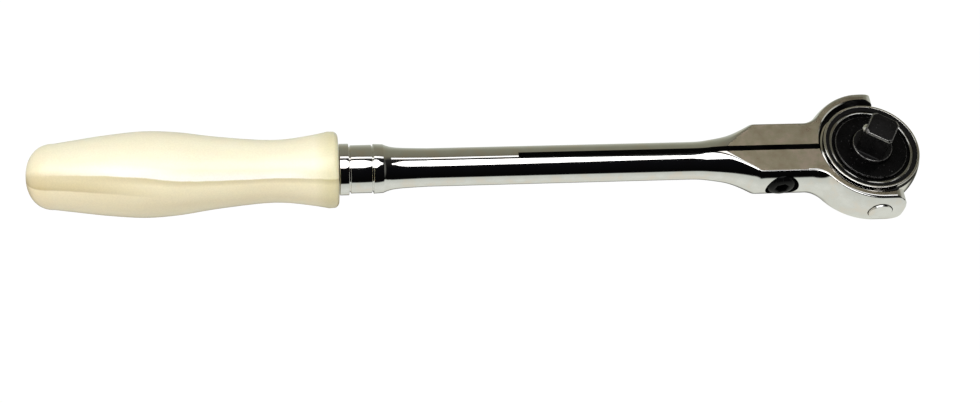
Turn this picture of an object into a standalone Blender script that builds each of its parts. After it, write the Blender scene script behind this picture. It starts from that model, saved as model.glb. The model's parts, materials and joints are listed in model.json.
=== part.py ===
"""Swivel-head ratchet, 3/8 inch drive: a turned plastic grip on a chromed shank whose slit fork holds a
round ratchet head between two pins.

Lengths below are millimetres and are scaled to metres where a mesh is made. Positions are measured from
the pivot: +X towards the head end, +Y towards the far arm, +Z out of the fork's flat top. PIVOT then puts
the middle of the underside of the whole tool at the world origin.
"""

import math

import bmesh
import bpy
from mathutils import Matrix, Vector

MM = 0.001

# Overall
BUTT_X = -277.0
BALL_R = 17.7  # the head's outer wall is part of a ball, so it turns inside the fork
GRIP_MAX_R = 13.82
PIVOT = Vector((-(BUTT_X + BALL_R) / 2, 0.0, GRIP_MAX_R))

# Grip
GRIP_FRONT_X = -179.0
GRIP_BORE_R = 4.9
GRIP_BORE_END_X = -250.5
LIP_R = 12.45
LIP_ROUND = 1.9
LIP_X = -182.2
# (x, radius) of the grip's swell, from behind the lip to where the butt starts to close
GRIP_SWELL = (
    (LIP_X, LIP_R),
    (-187.4, 11.45),
    (-196.0, 10.3),
    (-204.0, 10.3),
    (-218.0, 11.65),
    (-230.0, 13.3),
    (-240.6, GRIP_MAX_R),
    (-252.0, 12.85),
    (-262.0, 11.45),
    (-268.5, 10.5),
)
BUTT_POWER = 2.2

# Shank, collar and tang
SHANK_R = 6.3
TANG_R = 4.6
TANG_END_X = -249.0
COLLAR_START_X = -178.7
REAR_BAND_R = 8.4
MIDDLE_BAND_R = 7.85
FRONT_BAND_R = 8.1
GROOVE_R = 7.4
GROOVE_X = (-175.4, -168.0)
GROOVE_WIDTH = 0.5
FLARE = ((-164.6, 7.95), (-163.4, 7.45), (-161.5, 6.95), (-158.0, 6.6), (-150.0, SHANK_R))

# Fork, turned with the shank as a bar and a ball, then milled flat above and below and bored
FORK_T = 14.3
FLAT_HALF_W = 9.3
BAR_R = math.hypot(FLAT_HALF_W, FORK_T / 2)
# (x, half width of the flat) along the shoulder, a hollow turned flare
SHOULDER = ((-52.0, 1.55), (-49.0, 3.45), (-46.0, 5.4), (-43.0, 7.4), (-40.9, 8.8), (-40.1, 9.2))
NECK = ((-64.0, SHANK_R), (-61.0, SHANK_R + 0.02), (-58.0, 6.45), (-55.0, 6.85))
BLOCK_START_X = -39.2
BALL_SEAT_X = 0.3
ARM_R = 22.0
NEAR_TIP_X = 8.0
FAR_TIP_X = 5.0
ARM_TIP_ROUND = 4.0
FILLET_R = 8.0
FORK_BORE_R = 18.3
MILLED_FROM_X = -60.0
SLIT_START_X = -120.5
SLIT_END_X = -10.0
SLIT_W = 2.0

# Clamp screw, M6 button head, across the slit
SCREW_X = -31.9
SCREW_HEAD_R = 5.25
SCREW_SHANK_R = 2.9
SCREW_SEAT_Y = -7.9
SCREW_TOP_Y = -11.75
SCREW_END_Y = 10.9
SCREW_SEAT_R = 5.65
SCREW_HOLE_R = 3.1
SCREW_KEY = 4.0
SCREW_KEY_DEPTH = 2.0

# Pivot pins and friction washers
PIN_HEAD_R = 4.0
PIN_HOLE_R = 4.15
PIN_OUTER_Y = 22.3
PIN_SHOULDER_Y = 17.7
PIN_INNER_Y = 13.0
SPIGOT_R = 3.0
SPIGOT_HOLE_R = 3.1
SPIGOT_HOLE_END_Y = 12.7
HEAD_FLAT_Y = 17.0
WASHER_R = (3.15, 4.8)
WASHER_Y = (17.05, 17.6)

# Head housing
HOUSING_BOTTOM_Z = -7.2
RIM_R = 16.6
RIM_TOP_Z = 6.5
LEDGE_R = 15.75  # inside the rim's bead
LEDGE_Z = 6.15
SEAT_R = 14.4
SEAT_Z = 3.7
RING_GROOVE_R = 15.1
RING_GROOVE_Z = (4.75, 5.85)
GEAR_CAVITY_R = 8.75
GEAR_CAVITY_Z = -3.8
BEARING_R = 4.75
BEARING_Z = -6.6
PAWL_CAVITY_R = 12.0
PAWL_CAVITY_HALF_ANGLE = 50.0
PAWL_CAVITY_Z = -3.3

# Cover plate, seal and retaining ring
COVER_R = 14.2
COVER_Z = (3.75, 4.7)
COVER_RAISED_R = 12.4
COVER_TOP_Z = 6.0
HUB_HOLE_R = 6.95
SEAL_SEAT = (7.9, 4.5)
SEAL_R = (6.88, 7.8)
SEAL_Z = (3.85, 4.42)
RING_R = (13.5, 14.9)
RING_Z = (4.82, 5.74)
RING_GAP = 26.0
RING_GAP_AT = 52.0

# Drive gear with its hub and square
TEETH = 36
GEAR_TIP_R = 8.4
GEAR_ROOT_R = 7.6
GEAR_Z = (-3.2, 3.2)
LOWER_HUB_R = 4.65
LOWER_HUB_Z = -6.4
HUB_R = 6.8
HUB_TOP_Z = 7.5
SQUARE = 9.53
SQUARE_TOP_Z = 18.0
SQUARE_CORNER_R = 6.15
SQUARE_CHAMFER = 0.75
SQUARE_ANGLE = 58.0  # of the face with the ball's opposite, from +X
THRUST_WASHER_R = (5.0, 7.3)
THRUST_WASHER_Z = (-3.7, -3.3)

# Ball in the square
BALL_FACE_ANGLE = SQUARE_ANGLE + 90.0
DETENT_Z = 13.6
DETENT_R = 1.75
DETENT_HOLE_R = 1.85
DETENT_OUT = 1.0
DETENT_HOLE_DEPTH = 5.0

# Reverse lever with its post, and what the post holds
LEVER_X = -13.2
POST_R = 2.0
POST_HOLE_R = 2.1
POST_TOP_Z = 3.2
LEVER_Z = (-9.1, -7.45)
LEVER_DISC_R = 2.45
LEVER_TIP_R = 2.1
LEVER_LENGTH = 13.5
LEVER_REST = -30.0
CLIP_R = (1.68, 2.9)
CLIP_Z = (-3.1, -2.6)
CLIP_GROOVE = (1.58, -3.2, -2.5)
CLIP_GAP = 1.7
POST_POCKET_R = 3.15
SELECTOR_HOLE_R = 1.12
SELECTOR_BALL_R = 1.05
SELECTOR_BALL_AT = 1.9
SELECTOR_HOLE_BACK = -1.5

# Pawl, a crescent that rocks about the post's axis
PAWL_Z = (-3.0, 3.0)
PAWL_IN_R = 8.95
PAWL_OUT_R = 11.3
PAWL_HALF_ANGLE = 41.0
PAWL_RECESS_R = 3.1
PAWL_ROCK = 4.0
PAWL_TOOTH_ANGLES = (25.0, 35.0)
PAWL_TOOTH_R = (7.75, 8.6)
PAWL_TOOTH_HALF = 4.2

COLOURS = {
    "pearl_plastic": (0.86, 0.83, 0.74),
    "chrome": (0.78, 0.78, 0.78),
    "black_steel": (0.03, 0.03, 0.035),
    "steel": (0.55, 0.55, 0.56),
    "rubber": (0.02, 0.02, 0.02),
}


def clear_scene():
    for obj in list(bpy.data.objects):
        bpy.data.objects.remove(obj)


def new_collection(name, hidden=False):
    collection = bpy.data.collections.new(name)
    collection.hide_render = hidden
    bpy.context.scene.collection.children.link(collection)
    return collection


def material(slot, node):
    """One material for each node, coloured by its slot."""
    made = bpy.data.materials.new(f"{slot}_{node}")
    made.diffuse_color = (*COLOURS[slot], 1.0)
    return made


class Maker:
    """Makes objects in millimetres about an origin measured from the pivot."""

    def __init__(self, parts, cutters):
        self.parts = parts
        self.cutters = cutters

    def finish(self, name, mesh_edit, origin=(0, 0, 0), slot=None):
        """An object from a bmesh. Without a slot it is a cutter: hidden in renders and drawn as wire."""
        bmesh.ops.remove_doubles(mesh_edit, verts=mesh_edit.verts, dist=1e-5)
        bmesh.ops.recalc_face_normals(mesh_edit, faces=mesh_edit.faces)
        bmesh.ops.transform(mesh_edit, matrix=Matrix.Scale(MM, 4), verts=mesh_edit.verts)
        mesh = bpy.data.meshes.new(name)
        mesh_edit.to_mesh(mesh)
        mesh_edit.free()
        obj = bpy.data.objects.new(name, mesh)
        obj.location = (PIVOT + Vector(origin)) * MM
        if slot:
            self.parts.objects.link(obj)
            mesh.materials.append(material(slot, name))
        else:
            self.cutters.objects.link(obj)
            obj.hide_render = True
            obj.display_type = "WIRE"
        return obj

    def turned(self, name, outline, segments, axis="Z", origin=(0, 0, 0), slot=None, at=(0, 0, 0)):
        """Revolves (radius, height) points about an axis. An open outline starts and ends at radius 0."""
        closed = outline[0][0] > 0
        bm = bmesh.new()
        rings = []
        for radius, height in outline:
            count = segments if radius > 0 else 1
            ring = []
            for i in range(count):
                angle = 2 * math.pi * i / segments
                ring.append(bm.verts.new((radius * math.cos(angle), radius * math.sin(angle), height)))
            rings.append(ring)
        pairs = list(zip(rings, rings[1:]))
        if closed:
            pairs.append((rings[-1], rings[0]))
        for low, high in pairs:
            for i in range(segments):
                j = (i + 1) % segments
                corners = [low[i % len(low)], low[j % len(low)], high[j % len(high)], high[i % len(high)]]
                corners = list(dict.fromkeys(corners))
                if len(corners) > 2:
                    bm.faces.new(corners)
        turn = {
            "X": Matrix(((0, 0, 1), (1, 0, 0), (0, 1, 0))).to_4x4(),
            "Y": Matrix(((1, 0, 0), (0, 0, 1), (0, -1, 0))).to_4x4(),
            "Z": Matrix.Identity(4),
        }[axis]
        bmesh.ops.transform(bm, matrix=Matrix.Translation(at) @ turn, verts=bm.verts)
        return self.finish(name, bm, origin, slot)

    def prism(self, name, outline, low, high, axis="Z", origin=(0, 0, 0), slot=None, turn=None):
        """Extrudes a plan outline from low to high along Z, or an (x, z) outline along Y."""
        bm = bmesh.new()
        place = (lambda a, b, h: (a, b, h)) if axis == "Z" else (lambda a, b, h: (a, h, b))
        ends = [[bm.verts.new(place(a, b, h)) for a, b in outline] for h in (low, high)]
        bm.faces.new(ends[0])
        bm.faces.new(ends[1])
        for i in range(len(outline)):
            j = (i + 1) % len(outline)
            bm.faces.new((ends[0][i], ends[0][j], ends[1][j], ends[1][i]))
        if turn:
            bmesh.ops.transform(bm, matrix=turn, verts=bm.verts)
        return self.finish(name, bm, origin, slot)

    def coil(self, name, radius, wire, turns, start, end, turn, origin, slot):
        """A round-wire helix along +X from start to end, then turned into place."""
        steps, sides = 9, 5
        count = int(turns * steps)
        bm = bmesh.new()
        rings = []
        for k in range(count + 1):
            angle = 2 * math.pi * k / steps
            along = start + wire + (end - start - 2 * wire) * k / count
            ring = []
            for s in range(sides):
                around = 2 * math.pi * s / sides
                r = radius + wire * math.cos(around)
                ring.append(
                    bm.verts.new((along + wire * math.sin(around), r * math.cos(angle), r * math.sin(angle)))
                )
            rings.append(ring)
        for low, high in zip(rings, rings[1:]):
            for s in range(sides):
                t = (s + 1) % sides
                bm.faces.new((low[s], low[t], high[t], high[s]))
        bm.faces.new(rings[0])
        bm.faces.new(rings[-1])
        bmesh.ops.transform(bm, matrix=turn, verts=bm.verts)
        return self.finish(name, bm, origin, slot)


def combine(obj, operation, *others):
    for other in others:
        modifier = obj.modifiers.new(f"{operation.lower()} {other.name}", "BOOLEAN")
        modifier.operation = operation
        modifier.solver = "EXACT"
        modifier.object = other


def smooth_through(knots, steps):
    """A Catmull-Rom curve through (x, radius) knots, with steps points to each span."""
    ends = [knots[0], *knots, knots[-1]]
    points = []
    for p0, p1, p2, p3 in zip(ends, ends[1:], ends[2:], ends[3:]):
        for k in range(steps):
            t = k / steps
            points.append(
                tuple(
                    0.5 * (2 * b + (c - a) * t + (2 * a - 5 * b + 4 * c - d) * t**2 + (3 * b - a - 3 * c + d) * t**3)
                    for a, b, c, d in zip(p0, p1, p2, p3)
                )
            )
    points.append(knots[-1])
    return points


def arc(centre, radius, start, end, steps):
    """Points on an arc between two angles in degrees, both ends included."""
    points = []
    for k in range(steps + 1):
        angle = math.radians(start + (end - start) * k / steps)
        points.append((centre[0] + radius * math.cos(angle), centre[1] + radius * math.sin(angle)))
    return points


def turned_about(point, centre, degrees):
    angle = math.radians(degrees)
    x, y = point[0] - centre[0], point[1] - centre[1]
    return (
        centre[0] + x * math.cos(angle) - y * math.sin(angle),
        centre[1] + x * math.sin(angle) + y * math.cos(angle),
    )


def polygon(sides, radius, first_angle):
    return arc((0, 0), radius, first_angle, first_angle + 360 * (sides - 1) / sides, sides - 1)


def spin_z(degrees, at=(0, 0, 0)):
    return Matrix.Translation(at) @ Matrix.Rotation(math.radians(degrees), 4, "Z")


def make_grip(make):
    lip = [(LIP_R - LIP_ROUND + r, x) for r, x in arc((0, LIP_X + 1.3), LIP_ROUND, 80, 15, 3)]
    swell = [(r, x) for x, r in smooth_through(GRIP_SWELL, 2)]
    butt = []
    butt_x, butt_r = GRIP_SWELL[-1]
    for k in range(1, 6):
        along = math.sin(math.radians(90 * k / 6))
        butt.append((butt_r * (1 - along**BUTT_POWER) ** (1 / BUTT_POWER), butt_x + along * (BUTT_X - butt_x)))
    outline = [
        (0, GRIP_BORE_END_X),
        (GRIP_BORE_R, GRIP_BORE_END_X),
        (GRIP_BORE_R, GRIP_FRONT_X),
        *lip,
        *swell,
        *butt,
        (0, BUTT_X),
    ]
    make.turned("handle_grip", outline, 40, "X", slot="pearl_plastic")


def fork_profile():
    """(x, radius) of the turned blank from the shank's neck to the arms' tips."""
    half = FORK_T / 2
    flare = [*NECK, *[(x, math.hypot(w, half)) for x, w in SHOULDER], (BLOCK_START_X, BAR_R)]
    reach = ARM_R + FILLET_R
    fillet_r = BAR_R + FILLET_R
    fillet_x = BALL_SEAT_X - math.sqrt(reach**2 - fillet_r**2)
    meet = math.degrees(math.atan2(fillet_r, fillet_x - BALL_SEAT_X))
    profile = smooth_through(flare, 2)
    profile += arc((fillet_x, fillet_r), FILLET_R, -90, meet - 180, 7)
    profile += arc((BALL_SEAT_X, 0), ARM_R, meet, 90, 11)[1:]
    profile.append((NEAR_TIP_X + 2.0, ARM_R))
    return profile


def milled_shape(make, clear):
    """What the mill leaves: all of the shank behind the fork, then the flats, with round tips to the arms."""
    half = FORK_T / 2
    bm = bmesh.new()
    layers = []
    for y, tip_x in ((-clear, NEAR_TIP_X), (-SLIT_W, NEAR_TIP_X), (SLIT_W, FAR_TIP_X), (clear, FAR_TIP_X)):
        round_x = tip_x - ARM_TIP_ROUND
        side_view = [
            (TANG_END_X - 5.0, clear),
            (TANG_END_X - 5.0, -clear),
            (MILLED_FROM_X, -clear),
            (MILLED_FROM_X, -half),
            *arc((round_x, ARM_TIP_ROUND - half), ARM_TIP_ROUND, -90, 0, 6),
            *arc((round_x, half - ARM_TIP_ROUND), ARM_TIP_ROUND, 0, 90, 6),
            (MILLED_FROM_X, half),
            (MILLED_FROM_X, clear),
        ]
        layers.append([bm.verts.new((x, y, z)) for x, z in side_view])
    bm.faces.new(layers[0])
    bm.faces.new(layers[-1])
    for low, high in zip(layers, layers[1:]):
        for i in range(len(low)):
            j = (i + 1) % len(low)
            bm.faces.new((low[i], low[j], high[j], high[i]))
    return make.finish("milled_shape", bm)


def make_shank(make):
    half_groove = GROOVE_WIDTH / 2
    rear, front = GROOVE_X
    outline = [
        (0, TANG_END_X),
        (TANG_R - 0.8, TANG_END_X),
        (TANG_R, TANG_END_X + 0.8),
        (TANG_R, COLLAR_START_X),
        (REAR_BAND_R, COLLAR_START_X),
        (REAR_BAND_R, rear - half_groove),
        (GROOVE_R, rear - half_groove),
        (GROOVE_R, rear + half_groove),
        (MIDDLE_BAND_R, rear + half_groove),
        (MIDDLE_BAND_R, front - half_groove),
        (GROOVE_R, front - half_groove),
        (GROOVE_R, front + half_groove),
        (FRONT_BAND_R, front + half_groove),
        *[(r, x) for x, r in FLARE],
        *[(r, x) for x, r in fork_profile()],
        (0, NEAR_TIP_X + 2.0),
    ]
    shank = make.turned("shank_fork", outline, 56, "X", slot="chrome")
    clear = ARM_R + 3.0
    combine(shank, "INTERSECT", milled_shape(make, clear))

    reach = FORK_T
    bore = make.turned("fork_bore", [(0, -reach), (FORK_BORE_R, -reach), (FORK_BORE_R, reach), (0, reach)], 64)
    slit_plan = [
        (SLIT_START_X, -SLIT_W / 2),
        (SLIT_END_X, -SLIT_W / 2),
        (SLIT_END_X, SLIT_W / 2),
        (SLIT_START_X, SLIT_W / 2),
    ]
    slit = make.prism("slit", slit_plan, -reach, reach)
    pins = make.turned(
        "pin_holes", [(0, -clear), (PIN_HOLE_R, -clear), (PIN_HOLE_R, clear), (0, clear)], 32, "Y"
    )
    screw_outline = [
        (0, -BAR_R - 3),
        (SCREW_SEAT_R, -BAR_R - 3),
        (SCREW_SEAT_R, SCREW_SEAT_Y),
        (SCREW_HOLE_R, SCREW_SEAT_Y),
        (SCREW_HOLE_R, BAR_R + 3),
        (0, BAR_R + 3),
    ]
    screw = make.turned("screw_hole", screw_outline, 32, "Y", at=(SCREW_X, 0, 0))
    combine(shank, "DIFFERENCE", bore, slit, pins, screw)


def make_clamp_screw(make):
    head_base = SCREW_SEAT_Y - 0.3
    outline = [
        (0, SCREW_TOP_Y),
        (2.9, SCREW_TOP_Y),
        (3.9, SCREW_TOP_Y + 0.3),
        (4.7, SCREW_TOP_Y + 0.95),
        (5.1, SCREW_TOP_Y + 1.7),
        (SCREW_HEAD_R, SCREW_TOP_Y + 2.3),
        (SCREW_HEAD_R, head_base),
        (SCREW_SHANK_R, head_base),
        (SCREW_SHANK_R, SCREW_END_Y - 0.6),
        (SCREW_SHANK_R - 0.6, SCREW_END_Y),
        (0, SCREW_END_Y),
    ]
    screw = make.turned("clamp_screw", outline, 32, "Y", origin=(SCREW_X, 0, 0), slot="black_steel")
    key_r = SCREW_KEY / math.sqrt(3)
    key = make.prism(
        "screw_key",
        polygon(6, key_r, 20),
        SCREW_TOP_Y - 1,
        SCREW_TOP_Y + SCREW_KEY_DEPTH,
        axis="Y",
        origin=(SCREW_X, 0, 0),
    )
    combine(screw, "DIFFERENCE", key)


def make_pivots(make):
    pin = [
        (0, PIN_INNER_Y),
        (SPIGOT_R - 0.4, PIN_INNER_Y),
        (SPIGOT_R, PIN_INNER_Y + 0.4),
        (SPIGOT_R, PIN_SHOULDER_Y),
        (PIN_HEAD_R, PIN_SHOULDER_Y),
        (PIN_HEAD_R, PIN_OUTER_Y - 0.3),
        (PIN_HEAD_R - 0.3, PIN_OUTER_Y),
        (0, PIN_OUTER_Y),
    ]
    inner, outer = WASHER_R
    washer = [(inner, WASHER_Y[0]), (outer, WASHER_Y[0]), (outer, WASHER_Y[1]), (inner, WASHER_Y[1])]
    for side, sign in (("near", -1), ("far", 1)):
        make.turned(f"pivot_pin_{side}", [(r, sign * y) for r, y in pin], 32, "Y", slot="chrome")
        make.turned(f"pivot_washer_{side}", [(r, sign * y) for r, y in washer], 32, "Y", slot="steel")


def make_housing(make):
    wall = []
    for z in (-5.4, -3.6, -1.8, 0.0, 1.8, 3.4, 4.5):
        wall.append((math.sqrt(BALL_R**2 - z**2), z))
    outline = [
        (0, HOUSING_BOTTOM_Z),
        (14.6, HOUSING_BOTTOM_Z),
        (15.9, HOUSING_BOTTOM_Z + 0.5),
        *wall,
        (RIM_R - 0.3, 4.8),
        (RIM_R, 5.1),
        (RIM_R, RIM_TOP_Z - 0.5),
        (RIM_R - 0.2, RIM_TOP_Z - 0.15),
        (RIM_R - 0.45, RIM_TOP_Z),
        (LEDGE_R + 0.15, RIM_TOP_Z - 0.1),
        (LEDGE_R, LEDGE_Z),
        (SEAT_R, LEDGE_Z),
        (SEAT_R, RING_GROOVE_Z[1]),
        (RING_GROOVE_R, RING_GROOVE_Z[1]),
        (RING_GROOVE_R, RING_GROOVE_Z[0]),
        (SEAT_R, RING_GROOVE_Z[0]),
        (SEAT_R, SEAT_Z),
        (GEAR_CAVITY_R, SEAT_Z),
        (GEAR_CAVITY_R, GEAR_CAVITY_Z),
        (BEARING_R, GEAR_CAVITY_Z),
        (BEARING_R, BEARING_Z),
        (0, BEARING_Z),
    ]
    housing = make.turned("head_housing", outline, 48, slot="chrome")

    half = PAWL_CAVITY_HALF_ANGLE
    cavity_plan = arc((0, 0), PAWL_CAVITY_R, 180 - half, 180 + half, 12)
    cavity_plan += arc((0, 0), GEAR_CAVITY_R - 1.5, 180 + half, 180 - half, 6)
    cavity = make.prism("pawl_cavity", cavity_plan, PAWL_CAVITY_Z, SEAT_Z + 1)
    pocket = make.prism("post_pocket", arc((LEVER_X, 0), POST_POCKET_R, 0, 345, 23), PAWL_CAVITY_Z, POST_TOP_Z + 0.3)
    bottom = HOUSING_BOTTOM_Z - 2
    post_hole = make.prism("post_hole", arc((LEVER_X, 0), POST_HOLE_R, 0, 345, 23), bottom, POST_TOP_Z)
    combine(housing, "DIFFERENCE", cavity, pocket, post_hole)
    for side, sign in (("near", -1), ("far", 1)):
        low, high = sorted((sign * HEAD_FLAT_Y, sign * (BALL_R + 2)))
        flat_plan = [(-9, low), (9, low), (9, high), (-9, high)]
        flat = make.prism(f"pin_flat_{side}", flat_plan, -9, 9)
        spigot = [
            (0, sign * SPIGOT_HOLE_END_Y),
            (SPIGOT_HOLE_R, sign * SPIGOT_HOLE_END_Y),
            (SPIGOT_HOLE_R, sign * (BALL_R + 2)),
            (0, sign * (BALL_R + 2)),
        ]
        combine(housing, "DIFFERENCE", flat, make.turned(f"spigot_hole_{side}", spigot, 32, "Y"))


def make_cover(make):
    seat_r, seat_z = SEAL_SEAT
    outline = [
        (seat_r, COVER_Z[0]),
        (COVER_R, COVER_Z[0]),
        (COVER_R, COVER_Z[1]),
        (COVER_RAISED_R + 0.15, COVER_Z[1]),
        (COVER_RAISED_R, COVER_TOP_Z - 0.3),
        (COVER_RAISED_R - 0.3, COVER_TOP_Z),
        (HUB_HOLE_R, COVER_TOP_Z),
        (HUB_HOLE_R, seat_z),
        (seat_r, seat_z),
    ]
    make.turned("cover_plate", outline, 48, slot="black_steel")
    inner, outer = SEAL_R
    low, high = SEAL_Z
    seal = [
        (inner, low + 0.15),
        (inner + 0.15, low),
        (outer - 0.15, low),
        (outer, low + 0.15),
        (outer, high - 0.15),
        (outer - 0.15, high),
        (inner + 0.15, high),
        (inner, high - 0.15),
    ]
    make.turned("hub_seal", seal, 40, slot="rubber")
    start = RING_GAP_AT + RING_GAP / 2
    end = RING_GAP_AT - RING_GAP / 2 + 360
    ring = arc((0, 0), RING_R[1], start, end, 44) + arc((0, 0), RING_R[0], end, start, 44)
    make.prism("retaining_ring", ring, *RING_Z, slot="chrome")


def make_drive(make):
    star = []
    for k in range(TEETH):
        tip = 2 * math.pi * k / TEETH
        valley = tip + math.pi / TEETH
        star.append((GEAR_TIP_R * math.cos(tip), GEAR_TIP_R * math.sin(tip)))
        star.append((GEAR_ROOT_R * math.cos(valley), GEAR_ROOT_R * math.sin(valley)))
    gear = make.prism("drive_gear", star, *GEAR_Z, slot="black_steel")

    hub_outline = [
        (0, LOWER_HUB_Z),
        (LOWER_HUB_R - 0.4, LOWER_HUB_Z),
        (LOWER_HUB_R, LOWER_HUB_Z + 0.4),
        (LOWER_HUB_R, 0.0),
        (HUB_R, 0.0),
        (HUB_R, HUB_TOP_Z - 0.5),
        (HUB_R - 0.5, HUB_TOP_Z),
        (0, HUB_TOP_Z),
    ]
    hub = make.turned("gear_hub", hub_outline, 48)
    square_shape = make.prism(
        "square_bar", polygon(4, SQUARE / math.sqrt(2), SQUARE_ANGLE + 45), HUB_TOP_Z - 3, SQUARE_TOP_Z + 1
    )
    corner = SQUARE_CORNER_R
    end_r = SQUARE / 2 - SQUARE_CHAMFER + 1.25
    round_outline = [
        (0, HUB_TOP_Z - 2),
        (corner, HUB_TOP_Z - 2),
        (corner, SQUARE_TOP_Z - 1.1),
        ((corner + end_r) / 2 + 0.12, SQUARE_TOP_Z - 0.35),
        (end_r, SQUARE_TOP_Z),
        (0, SQUARE_TOP_Z),
    ]
    rounding = make.turned("square_rounding", round_outline, 48)
    combine(square_shape, "INTERSECT", rounding)
    face = SQUARE / 2
    hole_outline = [
        (0, face - DETENT_HOLE_DEPTH),
        (DETENT_HOLE_R, face - DETENT_HOLE_DEPTH),
        (DETENT_HOLE_R, face + 2),
        (0, face + 2),
    ]
    hole = make.turned("detent_hole", hole_outline, 20, "X")
    hole.rotation_euler.z = math.radians(BALL_FACE_ANGLE)
    hole.location.z += DETENT_Z * MM
    combine(gear, "UNION", hub, square_shape)
    combine(gear, "DIFFERENCE", hole)

    inner, outer = THRUST_WASHER_R
    low, high = THRUST_WASHER_Z
    make.turned("thrust_washer", [(inner, low), (outer, low), (outer, high), (inner, high)], 32, slot="steel")


def sphere_outline(radius, centre=0.0, steps=9):
    inner = [(radius * math.sin(a), centre - radius * math.cos(a)) for a in
             (math.pi * k / steps for k in range(1, steps))]
    return [(0, centre - radius), *inner, (0, centre + radius)]


def make_detent(make):
    out = Vector((math.cos(math.radians(BALL_FACE_ANGLE)), math.sin(math.radians(BALL_FACE_ANGLE)), 0))
    reach = SQUARE / 2 + DETENT_OUT - DETENT_R
    centre = out * reach + Vector((0, 0, DETENT_Z))
    make.turned("detent_ball", sphere_outline(DETENT_R), 18, origin=tuple(centre), slot="chrome")
    back = SQUARE / 2 - DETENT_HOLE_DEPTH + 0.1
    front = reach - DETENT_R - DETENT_OUT - 0.05
    turn = spin_z(BALL_FACE_ANGLE, (0, 0, DETENT_Z))
    make.coil("detent_spring", 1.2, 0.2, 2.5, back, front, turn, (0, 0, 0), "steel")


def make_lever(make):
    low, high = LEVER_Z
    post = [
        (0, high - 1.2),
        (POST_R, high - 1.2),
        (POST_R, CLIP_GROOVE[1]),
        (CLIP_GROOVE[0], CLIP_GROOVE[1]),
        (CLIP_GROOVE[0], CLIP_GROOVE[2]),
        (POST_R, CLIP_GROOVE[2]),
        (POST_R, POST_TOP_Z - 0.5),
        (POST_R - 0.3, POST_TOP_Z - 0.2),
        (0, POST_TOP_Z - 0.2),
    ]
    origin = (LEVER_X, 0, 0)
    lever = make.turned("reverse_lever", post, 24, origin=origin, slot="black_steel")
    taper = math.degrees(math.asin((LEVER_DISC_R - LEVER_TIP_R) / LEVER_LENGTH))
    plan = arc((0, 0), LEVER_DISC_R, 90 - taper, 270 + taper, 12)
    plan += arc((LEVER_LENGTH, 0), LEVER_TIP_R, -90 + taper, 90 - taper, 8)
    plate = make.prism("lever_plate", plan, low, high, origin=origin, turn=spin_z(LEVER_REST))
    edge = plate.modifiers.new("edges", "BEVEL")
    edge.width = 0.35 * MM
    edge.segments = 1
    edge.limit_method = "ANGLE"
    edge.angle_limit = math.radians(60)
    hole_outline = [
        (0, SELECTOR_HOLE_BACK),
        (SELECTOR_HOLE_R, SELECTOR_HOLE_BACK),
        (SELECTOR_HOLE_R, POST_R + 1),
        (0, POST_R + 1),
    ]
    hole = make.turned("selector_hole", hole_outline, 20, "X", origin=origin)
    hole.rotation_euler.z = math.radians(LEVER_REST)
    combine(lever, "UNION", plate)
    combine(lever, "DIFFERENCE", hole)

    inner, outer = CLIP_R
    clip_gap = math.degrees(math.asin(CLIP_GAP / 2 / outer))
    facing = LEVER_REST + 180
    clip = arc((0, 0), outer, facing + clip_gap, facing + 360 - clip_gap, 18)
    clip += arc((0, 0), inner, facing + 360 - 2 * clip_gap, facing + 2 * clip_gap, 18)
    make.prism("lever_clip", clip, *CLIP_Z, origin=origin, slot="steel")

    angle = math.radians(LEVER_REST)
    ball_at = (LEVER_X + SELECTOR_BALL_AT * math.cos(angle), SELECTOR_BALL_AT * math.sin(angle), 0)
    make.turned("selector_ball", sphere_outline(SELECTOR_BALL_R, steps=8), 16, origin=ball_at, slot="steel")
    front = SELECTOR_BALL_AT - SELECTOR_BALL_R - 0.05
    make.coil(
        "selector_spring",
        0.8,
        0.15,
        2.5,
        SELECTOR_HOLE_BACK + 0.1,
        front,
        spin_z(LEVER_REST),
        origin,
        "steel",
    )


def make_pawl(make):
    """The crescent is drawn midway between its two ends in mesh, then rocked until its near end engages."""
    post = (LEVER_X, 0)
    tip_r, base_r = PAWL_TOOTH_R
    teeth = []
    for angle in PAWL_TOOTH_ANGLES:
        tooth = [(base_r, -PAWL_TOOTH_HALF), (tip_r, 0.0), (base_r, PAWL_TOOTH_HALF)]
        for radius, offset in tooth:
            at = arc((0, 0), radius, 180 + angle + offset, 180, 1)[0]
            teeth.append(turned_about(at, post, -PAWL_ROCK))
    half = PAWL_HALF_ANGLE
    cosine = (PAWL_OUT_R**2 + LEVER_X**2 - PAWL_RECESS_R**2) / (2 * PAWL_OUT_R * abs(LEVER_X))
    recess = math.degrees(math.acos(cosine))
    edge_x, edge_y = arc((0, 0), PAWL_OUT_R, 180 - recess, 180, 1)[0]
    recess_end = math.degrees(math.atan2(edge_y, edge_x - LEVER_X))
    near_side = arc((0, 0), PAWL_IN_R, 180, 180 + PAWL_TOOTH_ANGLES[0] - 6, 3)
    near_side += teeth
    near_side += arc((0, 0), PAWL_OUT_R, 180 + half, 180 + recess, 5)
    back = arc(post, PAWL_RECESS_R, -recess_end, recess_end, 8)[1:-1]
    far_side = [(x, -y) for x, y in reversed(near_side)][:-1]
    outline = [turned_about(point, post, PAWL_ROCK) for point in near_side + back + far_side]
    outline = [(x - LEVER_X, y) for x, y in outline]
    make.prism("pawl", outline, *PAWL_Z, origin=(LEVER_X, 0, 0), slot="steel")


def main():
    clear_scene()
    parts = new_collection("swivel_head_ratchet")
    cutters = new_collection("cutters", hidden=True)
    make = Maker(parts, cutters)
    make_grip(make)
    make_shank(make)
    make_clamp_screw(make)
    make_pivots(make)
    make_housing(make)
    make_cover(make)
    make_drive(make)
    make_detent(make)
    make_lever(make)
    make_pawl(make)


main()
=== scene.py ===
"""Looks of the swivel-head ratchet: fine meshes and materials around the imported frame.

Lengths are millimetres measured from the head's pivot, as in the part's own source, and are scaled to
metres where a mesh is made. The pivot's place comes from the frame.
"""

import bisect
import json
import math

import bmesh
import bpy
from mathutils import Matrix, Vector


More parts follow.
